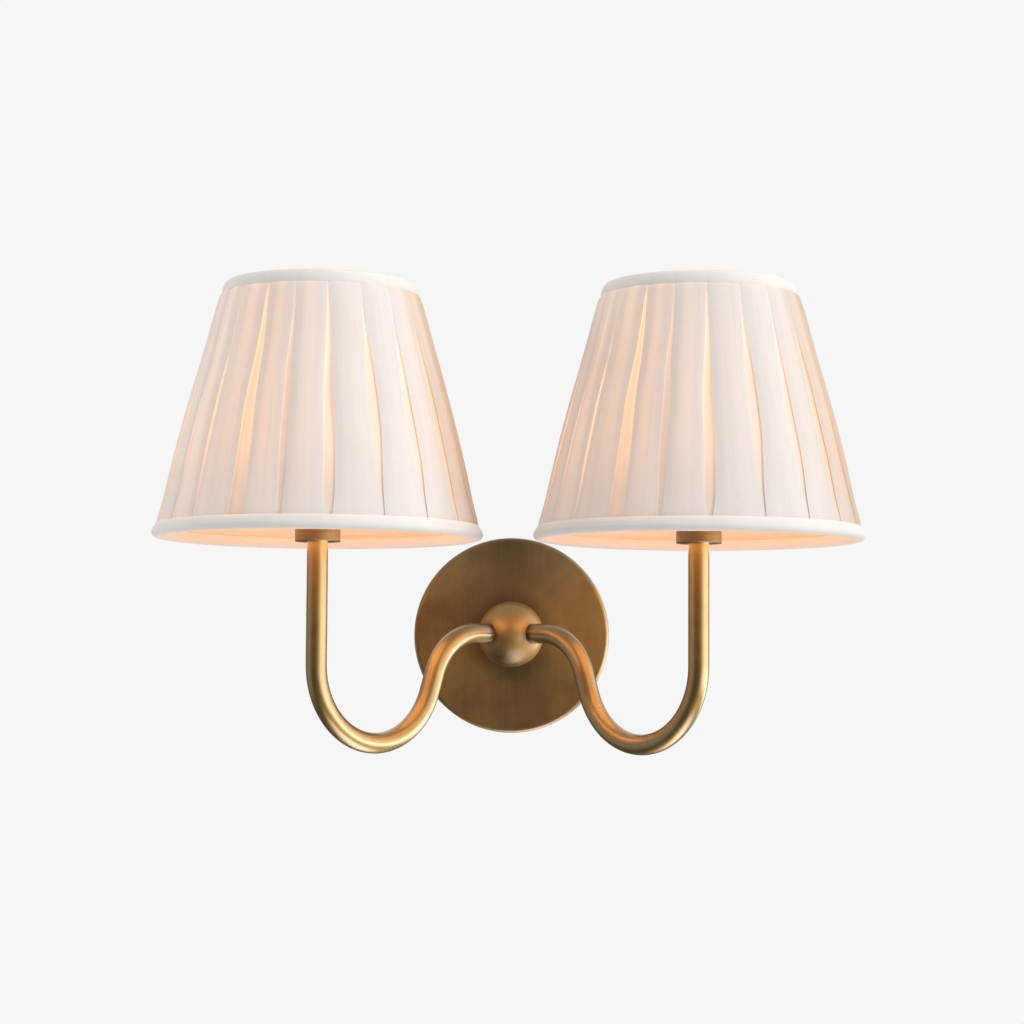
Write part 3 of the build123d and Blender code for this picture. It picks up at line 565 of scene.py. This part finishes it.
def ringPiece(name, side, section, outward, light):
    # radius and height from the section, plus small puckers where the pleats press from inside;
    # it glows on the side towards the bulb
    at = shadeFrame(side)
    columns = pucker["columns"]
    theta = np.linspace(0, 2 * pi, columns, endpoint=False)
    vary = np.random.RandomState(pucker["seed"])
    offset = (theta[:, None] - foldLines(side)[0] + pi) % (2 * pi) - pi
    press = np.sum(np.exp(-(offset / radians(pucker["press"])) ** 2), axis=1)
    ripple = sum(
        np.sin(k * theta + vary.uniform(0, 2 * pi)) * vary.uniform(*pucker["rippleRange"])
        for k in pucker["ripples"]
    ) / pucker["rippleOver"]
    push = (ripple * pucker["push"] - press) * pucker["depth"] * mm
    radius = section[:, :1] + outward[:, None] * push
    lift = pucker["lift"] * np.abs(outward[:, None] - 0.5) * ripple * pucker["depth"] * mm
    height = section[:, 1:] + lift
    points = np.stack([
        at["axis"][0] + radius * np.cos(theta),
        at["axis"][1] + radius * np.sin(theta),
        np.broadcast_to(height, radius.shape),
    ], axis=-1)
    loop = np.vstack([section, section[:1]])
    across = np.concatenate([[0], np.cumsum(np.linalg.norm(np.diff(loop, axis=0), axis=1))])
    around = np.linspace(0, 2 * pi * section[:, 0].mean(), columns + 1)
    uv = np.stack(np.meshgrid(around, across), axis=-1)
    glow = np.broadcast_to(light * (1 - outward[:, None]), radius.shape)
    piece = gridMesh(name, points, uv, closeRows=True, values={"glow": glow})
    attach(piece, f"{side}_shade")
    return piece


def bottomBinding(side):
    # cloth strip from inside the wire ring, round below it and up over the pleats' ends
    at = shadeFrame(side)
    b = {key: value * mm for key, value in binding.items()}
    outer, low, slope = at["bottomRadius"], at["low"], at["slope"]
    inner = outer - b["bottomWidth"]
    r = b["bottomRound"]
    path = smoothPath([
        (inner + 0.2 * mm, low + b["bottomInside"]),
        (inner, low + 0.62 * b["bottomInside"]),
        (inner + 0.25 * r, low + 0.30 * r),
        (inner + 0.95 * r, low + 0.02 * mm),
        (outer - 1.15 * r, low),
        (outer - 0.38 * r, low + 0.24 * r),
        (outer - 0.04 * mm, low + 0.88 * r),
        (outer - 0.45 * slope * b["bottomHeight"], low + 0.66 * b["bottomHeight"]),
        (outer - slope * b["bottomHeight"] - 0.5 * mm, low + b["bottomHeight"]),
    ], strip["steps"]["bottom"])
    section = foldedStrip(path, b["thickness"])
    start, wide = strip["outside"]["bottom"]
    outward = np.clip((section[:, 0] - outer + start * mm) / (wide * mm), 0, 1)
    piece = ringPiece(f"{side}BottomBinding", side, section, outward, strip["glow"]["bottom"])
    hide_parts(f"{side}_shade_bottom_trim")
    return piece


def topBinding(side):
    # cloth strip up over the pleats' ends, over the top edge and down to the wire ring
    at = shadeFrame(side)
    b = {key: value * mm for key, value in binding.items()}
    high, slope = at["high"], at["slope"]
    outer = at["bottomRadius"] - slope * (high - at["low"]) - b["topDraw"]
    inner = outer - b["topWidth"]
    r = b["topRound"]
    path = smoothPath([
        (outer + slope * b["topHeight"] - b["topInset"] + b["topDraw"], high - b["topHeight"]),
        (outer + slope * b["topHeight"] * 0.72, high - 0.72 * b["topHeight"]),
        (outer + slope * r * 1.2, high - 1.2 * r),
        (outer - 0.22 * r, high - 0.32 * r),
        (outer - 0.85 * r, high - 0.01 * mm),
        (inner + 0.85 * r, high - 0.01 * mm),
        (inner + 0.18 * r, high - 0.35 * r),
        (inner, high - b["topInside"]),
    ], strip["steps"]["top"])
    section = foldedStrip(path, b["thickness"])
    start, wide = strip["outside"]["top"]
    outward = np.clip((section[:, 0] - outer + start * mm) / (wide * mm), 0, 1)
    piece = ringPiece(f"{side}TopBinding", side, section, outward, strip["glow"]["top"])
    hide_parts(f"{side}_shade_top_trim")
    return piece


# finishes

noiseRange = (0.3, 0.7)  # where most of a noise's values lie

brass = {
    "dark": (0.110, 0.056, 0.018),
    "middle": (0.330, 0.190, 0.063),
    "light": (0.520, 0.315, 0.125),
    "lacquerIndex": 1.8,
    "stops": (0.24, 0.50, 0.80),  # patina at the three tones
    "patina": 0.15,
    "clouds": (22, 3, 0.50),  # spots per metre, detail, share in the patina
    "mottle": (160, 4, 0.12),
    "speck": (1500, 2, 0.08),
    "streakShare": 0.07,
    "paintedShadeUneven": 0.5,
    "grainRange": (0.4, 1.1),
    "relief": (0.12, 0.0001),
    # roughness of the metal, weight and roughness of the lacquer, how much lighter, tint,
    # streaks per metre
    "plate": ((0.56, 0.64), (1.0, 0.24), -0.03, (1.0, 1.07, 1.0), (420, 420, 36)),
    "ball": ((0.48, 0.56), (0.45, 0.26), 0.33, (1.0, 1.02, 0.92), None),
    "arm": ((0.42, 0.50), (1.0, 0.14), 0.06, (1.02, 1.10, 0.80), None),
    "seat": ((0.50, 0.60), (0.8, 0.20), -0.035, (1.0, 1.0, 0.85), None),
}


def agedBrass(name, kind, paintedShadeSpots=(), rimWearAndHighlight=None):
    # patina = base + lift + sum of noise x share - painted shade near points + lighter rim, from
    # wear and a painted highlight
    material, tree, shader = newMaterial(name)
    roughness, lacquer, lift, tint, streaks = brass[kind]
    coords = addNode(tree, "ShaderNodeTexCoord").outputs["Object"]
    sizes = [brass[key] for key in ("clouds", "mottle", "speck")]
    clouds, mottle, speck = (noise(tree, coords, *size[:2]) for size in sizes)
    shares = [size[2] for size in sizes]
    patina = weighted(tree, brass["patina"] + lift, *zip((clouds, mottle, speck), shares))
    if streaks:
        share = brass["streakShare"]
        patina = weighted(tree, patina, (noise(tree, coords, 1.0, 3, streaks), share))
        patina = math(tree, "SUBTRACT", patina, share / 2)
    # painted shade: darker near the points where parts meet and under the ball
    for point, near, far, depth in paintedShadeSpots:
        reach = vectorMath(tree, "DISTANCE", coords, point)
        shade = mapRange(tree, reach, near, far, depth, 0.0, soft=True)
        uneven = math(tree, "ADD", mottle, brass["paintedShadeUneven"])
        patina = math(tree, "SUBTRACT", patina, math(tree, "MULTIPLY", shade, uneven))
    # lighter along the plate's rim: wear, and a painted highlight of its rounded edge
    if rimWearAndHighlight:
        near, far, rimLighterBy = rimWearAndHighlight
        flat = addNode(tree, "ShaderNodeMapping", Vector=coords, Scale=(1, 0, 1)).outputs[0]
        radius = vectorMath(tree, "LENGTH", flat)
        rimLightening = mapRange(tree, radius, near, far, 0.0, rimLighterBy, soft=True)
        patina = math(tree, "ADD", patina, rimLightening)
    tones = [
        tuple(c * part for c, part in zip(brass[tone], tint))
        for tone in ("dark", "middle", "light")
    ]
    colour = colourRamp(tree, patina, list(zip(brass["stops"], tones)))
    tree.links.new(colour, shader.inputs["Base Color"])
    grain = weighted(tree, 0.0, (mottle, 1.0), (speck, 0.5))
    rough = mapRange(tree, grain, *brass["grainRange"], *roughness)
    tree.links.new(rough, shader.inputs["Roughness"])
    shader.inputs["Metallic"].default_value = 1.0
    coatWeight, coatRoughness = lacquer
    shader.inputs["Coat Weight"].default_value = coatWeight
    shader.inputs["Coat Roughness"].default_value = coatRoughness
    shader.inputs["Coat IOR"].default_value = brass["lacquerIndex"]
    bump(tree, shader, weighted(tree, 0.0, (speck, 1.0), (mottle, 0.6)), *brass["relief"])
    return material


plainKinds = {
    # clouds and grain per metre, share of the colour in the clouds, where they begin and end,
    # shares of the roughness, the grain's relief, metallic
    "metal": (100.0, 1800, 0.78, (0.3, 0.7), (0.8, 1.25), (0.2, 0.0001), 1.0),
    "plastic": (112.5, 900, 0.88, (0.35, 0.65), (0.85, 1.15), (0.15, 0.0002), 0.0),
}


def plainFinish(name, kind, colour, roughness):
    # even metal, plastic or card: colour x share in the clouds, roughness x share over the grain
    material, tree, shader = newMaterial(name)
    cloudScale, fineScale, dark, (start, end), shares, relief, metallic = plainKinds[kind]
    coords = addNode(tree, "ShaderNodeTexCoord").outputs["Object"]
    cloud = noise(tree, coords, cloudScale, 3)
    fine = noise(tree, coords, fineScale, 2)
    low = tuple(c * dark for c in colour)
    clouded = colourRamp(tree, cloud, [(start, low), (end, colour)])
    tree.links.new(clouded, shader.inputs["Base Color"])
    rough = mapRange(tree, fine, *noiseRange, *(roughness * share for share in shares))
    tree.links.new(rough, shader.inputs["Roughness"])
    shader.inputs["Metallic"].default_value = metallic
    bump(tree, shader, fine, *relief)
    return material


linen = {
    "thread": (0.830, 0.790, 0.762),
    "slub": (0.790, 0.750, 0.720),
    "bindingThread": (0.915, 0.875, 0.838),
    "bindingSlub": (0.875, 0.832, 0.793),
    "light": 0.52,
    "lightHigh": (1.0, 0.55, 0.17),
    "lightLow": (1.0, 0.41, 0.12),
    "paleLight": (0.74, 0.60, 0.48),
    "paintedShadeColour": (0.72, 0.62, 0.51),  # painted shade: share of the cloth's colour left in the gaps, on shaded panels and at the right
    "bindingLight": 0.30,
    "roughness": 0.88,
    "sheen": 0.15,
    "specular": 0.2,
    "relief": (0.35, 0.00025),
    "stops": (0.36, 0.62),  # grain at the slub's and the thread's colour
    # threads per metre along and up the cloth
    "slubs": (900, 26, 1),
    "threads": (3200, 500, 1),
    "crossThreads": (420, 2600, 1),
    "drapes": (160, 5, 1),
    "bindingThreads": (2600, 900, 1),
    "bindingCross": (700, 3000, 1),
    "bindingPatches": 60,
    "slubDense": (1.12, 0.88),  # light through thin and thick places
    "drapeDense": (1.25, 0.75),
    "tintStops": (0.10, 0.55),
    "clearFrom": 0.3,  # light above which a place takes the higher tint
}


def wovenFinish(shader):
    # dull cloth with a slight sheen
    shader.inputs["Roughness"].default_value = linen["roughness"]
    shader.inputs["Sheen Weight"].default_value = linen["sheen"]
    shader.inputs["Specular IOR Level"].default_value = linen["specular"]


def pleatLinen(name):
    # slubby weave on the cloth's own map; light through it = tint x light x density + pale light
    material, tree, shader = newMaterial(name)
    weave = addNode(tree, "ShaderNodeUVMap", {"uv_map": "clothMap"}).outputs[0]
    slub = noise(tree, weave, 1.0, 3, linen["slubs"])
    thread = noise(tree, weave, 1.0, 2, linen["threads"])
    cross = noise(tree, weave, 1.0, 2, linen["crossThreads"])
    grain = weighted(tree, 0.0, (slub, 0.6), (thread, 0.4))
    tones = zip(linen["stops"], (linen["slub"], linen["thread"]))
    colour = colourRamp(tree, grain, list(tones))
    whole = (1.0, 1.0, 1.0)
    # painted shade: the cloth's colour darkened in the gaps, on some panels and at the right side
    paintedShadeTint = colourRamp(tree, meshValue(tree, "paintedShade"), [(0.0, whole), (1.0, linen["paintedShadeColour"])])
    paintedShadeColour = vectorMath(tree, "MULTIPLY", colour, paintedShadeTint)
    tree.links.new(paintedShadeColour, shader.inputs["Base Color"])
    wovenFinish(shader)
    light = meshValue(tree, "light")
    bright = mapRange(tree, light, linen["clearFrom"], 1.0, 0.0, 1.0)
    clear = math(tree, "MULTIPLY", meshValue(tree, "level"), bright)
    tints = zip(linen["tintStops"], (linen["lightLow"], linen["lightHigh"]))
    tint = colourRamp(tree, clear, list(tints))
    drape = noise(tree, weave, 1.0, 2, linen["drapes"])
    thin, thick = (share * linen["light"] for share in linen["slubDense"])
    dense = mapRange(tree, slub, *noiseRange, thin, thick)
    draped = mapRange(tree, drape, *noiseRange, *linen["drapeDense"])
    dense = math(tree, "MULTIPLY", dense, draped)
    warm = vectorMath(tree, "SCALE", tint, math(tree, "MULTIPLY", light, dense))
    pale = vectorMath(tree, "SCALE", linen["paleLight"], meshValue(tree, "pale"))
    tree.links.new(vectorMath(tree, "ADD", warm, pale), shader.inputs["Emission Color"])
    shader.inputs["Emission Strength"].default_value = 1.0
    height = weighted(tree, 0.0, (slub, 1.0), (thread, 1.0), (cross, 0.5), (drape, 3.0))
    bump(tree, shader, height, *linen["relief"])
    return material


def bindingCloth(name):
    # plain weave, with the bulb's glow on the side towards it
    material, tree, shader = newMaterial(name)
    weave = addNode(tree, "ShaderNodeUVMap", {"uv_map": "clothMap"}).outputs[0]
    thread = noise(tree, weave, 1.0, 2, linen["bindingThreads"])
    cross = noise(tree, weave, 1.0, 2, linen["bindingCross"])
    patch = noise(tree, weave, linen["bindingPatches"], 3)
    grain = weighted(tree, 0.0, (thread, 0.5), (patch, 0.5))
    tones = zip(linen["stops"], (linen["bindingSlub"], linen["bindingThread"]))
    tree.links.new(colourRamp(tree, grain, list(tones)), shader.inputs["Base Color"])
    wovenFinish(shader)
    glow = math(tree, "MULTIPLY", meshValue(tree, "glow"), linen["bindingLight"])
    tree.links.new(glow, shader.inputs["Emission Strength"])
    shader.inputs["Emission Color"].default_value = (*linen["lightLow"], 1.0)
    height = weighted(tree, 0.0, (thread, 1.0), (cross, 1.0))
    bump(tree, shader, height, *linen["relief"])
    return material


lining = {
    "paper": ((0.74, 0.62, 0.52), (0.82, 0.70, 0.60)),
    "lightLow": (1.0, 0.47, 0.27),
    "lightHigh": (1.0, 0.60, 0.32),
    "light": (0.51, 0.42),  # beside the bulb, and far from it
    "fibre": 420,  # per metre
    "roughness": 0.55,
    "relief": (0.1, 0.0002),
}


def liningSheet(name):
    # pale stiff lining, warm from the bulb: the light falls with |height - bulb's height|
    material, tree, shader = newMaterial(name)
    low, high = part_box("left_bulb_glass")
    bulbHeight = (low.z + high.z) / 2
    reach = high.z - low.z
    coords = addNode(tree, "ShaderNodeTexCoord").outputs["Object"]
    height = addNode(tree, "ShaderNodeSeparateXYZ", Vector=coords).outputs["Z"]
    fibre = noise(tree, coords, lining["fibre"], 3)
    paper = colourRamp(tree, fibre, list(zip(noiseRange, lining["paper"])))
    tree.links.new(paper, shader.inputs["Base Color"])
    shader.inputs["Roughness"].default_value = lining["roughness"]
    away = math(tree, "ABSOLUTE", math(tree, "SUBTRACT", height, bulbHeight))
    glow = mapRange(tree, away, 0.0, reach, *lining["light"])
    tree.links.new(glow, shader.inputs["Emission Strength"])
    rise = mapRange(tree, height, bulbHeight - reach, bulbHeight, 0, 1)
    tint = colourRamp(tree, rise, [(0.0, lining["lightLow"]), (1.0, lining["lightHigh"])])
    tree.links.new(tint, shader.inputs["Emission Color"])
    bump(tree, shader, fibre, *lining["relief"])
    return material


bulb = {
    "glass": (0.98, 0.97, 0.95, 1),
    "glassIndex": 1.45,
    "haze": (0.01, 0.05),
    "hazeScale": 90,
    "rods": ((0.85, 0.55, 0.18), (0.95, 0.72, 0.32)),
    "rodScale": 1200,
    "rodRoughness": 0.5,
    "rodGlow": (1.0, 0.66, 0.30, 1),
    "rodStrength": 4.0,
}


def clearGlass(name):
    # clear, with a little uneven haze
    material, tree, shader = newMaterial(name)
    coords = addNode(tree, "ShaderNodeTexCoord").outputs["Object"]
    shader.inputs["Base Color"].default_value = bulb["glass"]
    shader.inputs["Transmission Weight"].default_value = 1.0
    shader.inputs["IOR"].default_value = bulb["glassIndex"]
    haze = mapRange(tree, noise(tree, coords, bulb["hazeScale"], 2), *noiseRange, *bulb["haze"])
    tree.links.new(haze, shader.inputs["Roughness"])
    return material


def glowRods(name):
    # the bulb's lit rods, with a fine grain
    material, tree, shader = newMaterial(name)
    coords = addNode(tree, "ShaderNodeTexCoord").outputs["Object"]
    grain = noise(tree, coords, bulb["rodScale"], 2)
    colour = colourRamp(tree, grain, list(zip(noiseRange, bulb["rods"])))
    tree.links.new(colour, shader.inputs["Base Color"])
    shader.inputs["Roughness"].default_value = bulb["rodRoughness"]
    shader.inputs["Emission Color"].default_value = bulb["rodGlow"]
    shader.inputs["Emission Strength"].default_value = bulb["rodStrength"]
    return material


# painted shade where parts meet and under the ball: reach of the full depth, where it ends, and its
# depth in the patina
paintedShadeSizes = {
    "plateFoot": (0.017, 0.034, 0.20),
    "ballFoot": (0.012, 0.023, 0.40),
    "ballUnder": (0.006, 0.018, 0.46),
    "mouth": (0.0055, 0.0110, 0.36),
    "armReach": 0.006,
    "armDepth": 0.40,
}
# the plate's rim lighter: wear, and a painted highlight of its edge
plateRimWearAndHighlight = (0.976 * plateRadius, 0.99 * plateRadius, 0.14)
ballFoot = Vector((0.0, plateLow.y, 0.0))
# painted shade on the ball's underside
ballUnder = ballCenter + Vector((0.0, -0.5, -0.75)) * ballRadius
platePaintedShade = [(ballFoot, *paintedShadeSizes["plateFoot"])]
ballPaintedShade = [(ballFoot, *paintedShadeSizes["ballFoot"]), (ballUnder, *paintedShadeSizes["ballUnder"])]
ballPaintedShade += [(armMouth(side), *paintedShadeSizes["mouth"]) for side in sides]
armPaintedShade = [(ballCenter, ballRadius, ballRadius + paintedShadeSizes["armReach"], paintedShadeSizes["armDepth"])]
dress(agedBrass("plateBrass", "plate", platePaintedShade, plateRimWearAndHighlight), "backplate", "canopy_screws")
dress(agedBrass("ballBrass", "ball", ballPaintedShade), "hub_ball")
dress(agedBrass("armBrass", "arm", armPaintedShade), *bothSides("arm"))
dress(agedBrass("seatBrass", "seat"), *bothSides("socket_seat", "finial"))

plainFinishes = {
    # kind, colour, roughness, pieces of the base, pieces on both sides
    "platedSteel": ("metal", (0.55, 0.56, 0.57), 0.35,
                    ("hub_pipe", "hub_washer", "hub_nut", "mounting_bar"),
                    ("socket_pipe", "socket_nut", "socket_bracket", "socket_rivets")),
    "brassWire": ("metal", (0.60, 0.43, 0.18), 0.32,
                  (), ("bulb_clip", "shade_spider", "shade_bottom_ring")),
    "contactBrass": ("metal", (0.70, 0.50, 0.20), 0.30, (), ("screw_shell", "center_contact")),
    "bulbMetal": ("metal", (0.70, 0.70, 0.69), 0.28, (), ("bulb_cap", "bulb_eyelet")),
    "greenScrew": ("plastic", (0.03, 0.20, 0.07), 0.35, ("ground_screw",), ()),
    "capPlastic": ("plastic", (0.72, 0.28, 0.04), 0.45, ("wire_connectors",), ()),
    "leadCover": ("plastic", (0.62, 0.52, 0.34), 0.40, (), ("leads",)),
    "socketPlastic": ("plastic", (0.035, 0.030, 0.027), 0.35, (), ("socket_body",)),
    "candleSleeve": ("plastic", (0.80, 0.71, 0.56), 0.5, (), ("candle_sleeve",)),
    "bulbInsulator": ("plastic", (0.02, 0.02, 0.02), 0.2, (), ("bulb_insulator",)),
}
for name, (kind, colour, roughness, single, double) in plainFinishes.items():
    dress(plainFinish(name, kind, colour, roughness), *single, *bothSides(*double))
dress(clearGlass("bulbGlass"), *bothSides("bulb_glass", "bulb_stem"))
dress(glowRods("glowRods"), *bothSides("bulb_filament"))
dress(liningSheet("liningSheet"), *bothSides("shade_liner"))
coatCloth = pleatLinen("pleatLinen")
edgeCloth = bindingCloth("bindingCloth")
print("finishes:", len(bpy.data.materials), "materials")

for side in sides:
    coat, flatSize = pleatedCloth(side)
    coat.data.materials.append(coatCloth)
    edges = [bottomBinding(side), topBinding(side)]
    for edge in edges:
        edge.data.materials.append(edgeCloth)
    print(side, "shade: cloth", [round(v, 3) for v in flatSize], len(coat.data.polygons), "quads")


# studio: pale floor below, soft lights, and a plain pale surround

studio = {
    "surround": 0.922,
    # what metal mirrors: the dim room and its ceiling, a soft light at the right, a weak one at the
    # left, the lit ground below, and what is behind
    "mirrored": {
        "room": 0.10,
        "above": 0.40,
        "rightLow": 0.5,
        "rightMiddle": 4.6,
        "rightHigh": 2.3,
        "left": 0.48,
        "below": 4.4,
        "backLow": 0.12,
        "backHigh": 0.9,
    },
    # where each of them begins and ends, along one direction's share
    "ramps": {
        "ceiling": (0.15, 0.7),
        "leftSide": (-0.65, -1.0),
        "leftRise": (0.2, 0.6),
        "rightSide": (0.25, 1.05),
        "rightRise": (-0.55, -0.25),
        "rightFall": (-0.12, 0.12),
        "ground": (-0.70, -0.95),
        "groundSide": (-0.35, 0.35),
        "back": (0.25, 0.75),
        "backRise": (0.1, 0.5),
    },
    "rightSlant": -0.25,  # the light at the right draws back towards the top
    "ambient": 0.47,
    "floorDrop": 0.80,
    "floorHalf": 1.4,
    "floorSteps": 15,
    "floorForward": 0.6,
    "floorColour": (0.84, 0.84, 0.84, 1),
    "floorRoughness": 0.9,
    "floorPale": 0.22,  # added to the floor where it is seen, so that it is as pale as the surround
    "lights": {
        # place, aim, width and height, watts
        "keyLight": ((5.25, -2.67, 1.48), (0.0, -0.12, 0.08), (3.6, 3.6), 220.0),
        "fillLight": ((-2.1, 0.06, 0.4), (0.0, -0.12, 0.05), (1.2, 1.2), 12.5),
        "topLight": ((0.1, -0.3, 1.6), (0.0, -0.1, 0.0), (1.2, 1.2), 6.0),
    },
    "bulbDisk": 1.75,  # width over the shade's radius
    "bulbDrop": 0.2,  # mm below the seat
    "bulbWatts": 0.098,
    "bulbColour": (1.0, 0.43, 0.13),
}


def areaLight(name, place, aim, size, watts, mirrored=False, colour=(1, 1, 1), shape="RECTANGLE"):
    # its -Z looks at the aim; metal shows it only where it is mirrored
    light = bpy.data.lights.new(name, "AREA")
    light.energy = watts
    light.color = colour
    light.shape = shape
    light.size, light.size_y = size
    lamp = bpy.data.objects.new(name, light)
    lamp.visible_camera = False
    lamp.visible_glossy = mirrored
    bpy.context.scene.collection.objects.link(lamp)
    lamp.location = place
    lamp.rotation_euler = (Vector(aim) - Vector(place)).to_track_quat("-Z", "Y").to_euler()


def bulbGlow(side):
    # warm light that leaves a shade downwards through its open end
    at = shadeFrame(side)
    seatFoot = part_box(f"{side}_socket_seat")[0].z
    place = Vector((*at["axis"], seatFoot - studio["bulbDrop"] * mm))
    below = place - Vector((0, 0, 1))
    wide = studio["bulbDisk"] * at["bottomRadius"]
    watts, colour = studio["bulbWatts"], studio["bulbColour"]
    areaLight(f"{side}BulbGlow", place, below, (wide, wide), watts, True, colour, "DISK")


def studioFloor():
    # a flat grid below the lamp, wide enough for its shadow
    span = np.linspace(-studio["floorHalf"], studio["floorHalf"], studio["floorSteps"])
    x, y = np.meshgrid(span, span - studio["floorForward"])
    z = np.full_like(x, cadBounds[0][2] - studio["floorDrop"])
    points = np.stack([x, y, z], axis=-1)
    floor = gridMesh("studioFloor", points, closeCols=False)
    material, tree, shader = newMaterial("studioFloor")
    shader.inputs["Base Color"].default_value = studio["floorColour"]
    shader.inputs["Roughness"].default_value = studio["floorRoughness"]
    shader.inputs["Emission Color"].default_value = (1, 1, 1, 1)
    seen = addNode(tree, "ShaderNodeLightPath").outputs["Is Camera Ray"]
    pale = math(tree, "MULTIPLY", seen, studio["floorPale"])
    tree.links.new(pale, shader.inputs["Emission Strength"])
    floor.data.materials.append(material)
    floor.visible_glossy = False  # metal shows the surround, not the floor


def surround():
    # camera and glass rays see the pale surround, others an even light, and mirror rays a dim room
    # with a broad soft light at the right, a weak one at the left and a lit ground
    world = bpy.data.worlds.new("studioWorld")
    bpy.context.scene.world = world
    world.use_nodes = True
    tree = world.node_tree
    shader = tree.nodes["Background"]
    rays = addNode(tree, "ShaderNodeLightPath").outputs
    direction = addNode(tree, "ShaderNodeTexCoord").outputs["Generated"]
    axes = addNode(tree, "ShaderNodeSeparateXYZ", Vector=direction).outputs
    x, y, z = (axes[axis] for axis in "XYZ")
    levels, ramps = studio["mirrored"], studio["ramps"]

    def ramp(value, key, low=0.0, high=1.0):
        # low to high over the named stretch, eased
        return mapRange(tree, value, *ramps[key], low, high, soft=True)

    room = ramp(z, "ceiling", levels["room"], levels["above"])
    leftLevel = ramp(z, "leftRise", levels["left"], levels["above"])
    front = between(tree, ramp(x, "leftSide"), room, leftLevel)
    rising = ramp(z, "rightRise", levels["rightLow"], levels["rightMiddle"])
    falling = ramp(z, "rightFall", levels["rightMiddle"], levels["rightHigh"])
    rightLevel = math(tree, "MINIMUM", rising, falling)
    right = ramp(weighted(tree, x, (z, studio["rightSlant"])), "rightSide")
    front = between(tree, right, front, rightLevel)
    below = math(tree, "MULTIPLY", ramp(z, "ground"), ramp(x, "groundSide"))
    front = between(tree, below, front, levels["below"])
    past = math(tree, "ADD", y, math(tree, "MINIMUM", z, 0.0))
    backLevel = ramp(z, "backRise", levels["backLow"], levels["backHigh"])
    mirrored = between(tree, ramp(past, "back"), front, backLevel)
    seen = math(tree, "MAXIMUM", rays["Is Camera Ray"], rays["Is Transmission Ray"])
    plain = between(tree, seen, studio["ambient"], studio["surround"])
    tree.links.new(between(tree, rays["Is Glossy Ray"], plain, mirrored), shader.inputs["Strength"])
    shader.inputs["Color"].default_value = (1, 1, 1, 1)


for name, settings in studio["lights"].items():
    areaLight(name, *settings)
for side in sides:
    bulbGlow(side)
studioFloor()
surround()

view = {
    "place": (0.03153, -1.7529, -0.0482),
    "pitch": 0.0740,
    "yaw": 0.0178,
    "roll": 0.0062,
    "lens": 93.55,  # mm
    "sensor": 36.0,
}
cameraData = bpy.data.cameras.new("frontCamera")
cameraData.lens = view["lens"]
cameraData.sensor_width = view["sensor"]
camera = bpy.data.objects.new("frontCamera", cameraData)
bpy.context.scene.collection.objects.link(camera)
camera.location = view["place"]
camera.rotation_euler = (pi / 2 + view["pitch"], -view["roll"], view["yaw"])
bpy.context.scene.camera = camera
bpy.context.scene.view_settings.view_transform = "Standard"
print("studio ready")
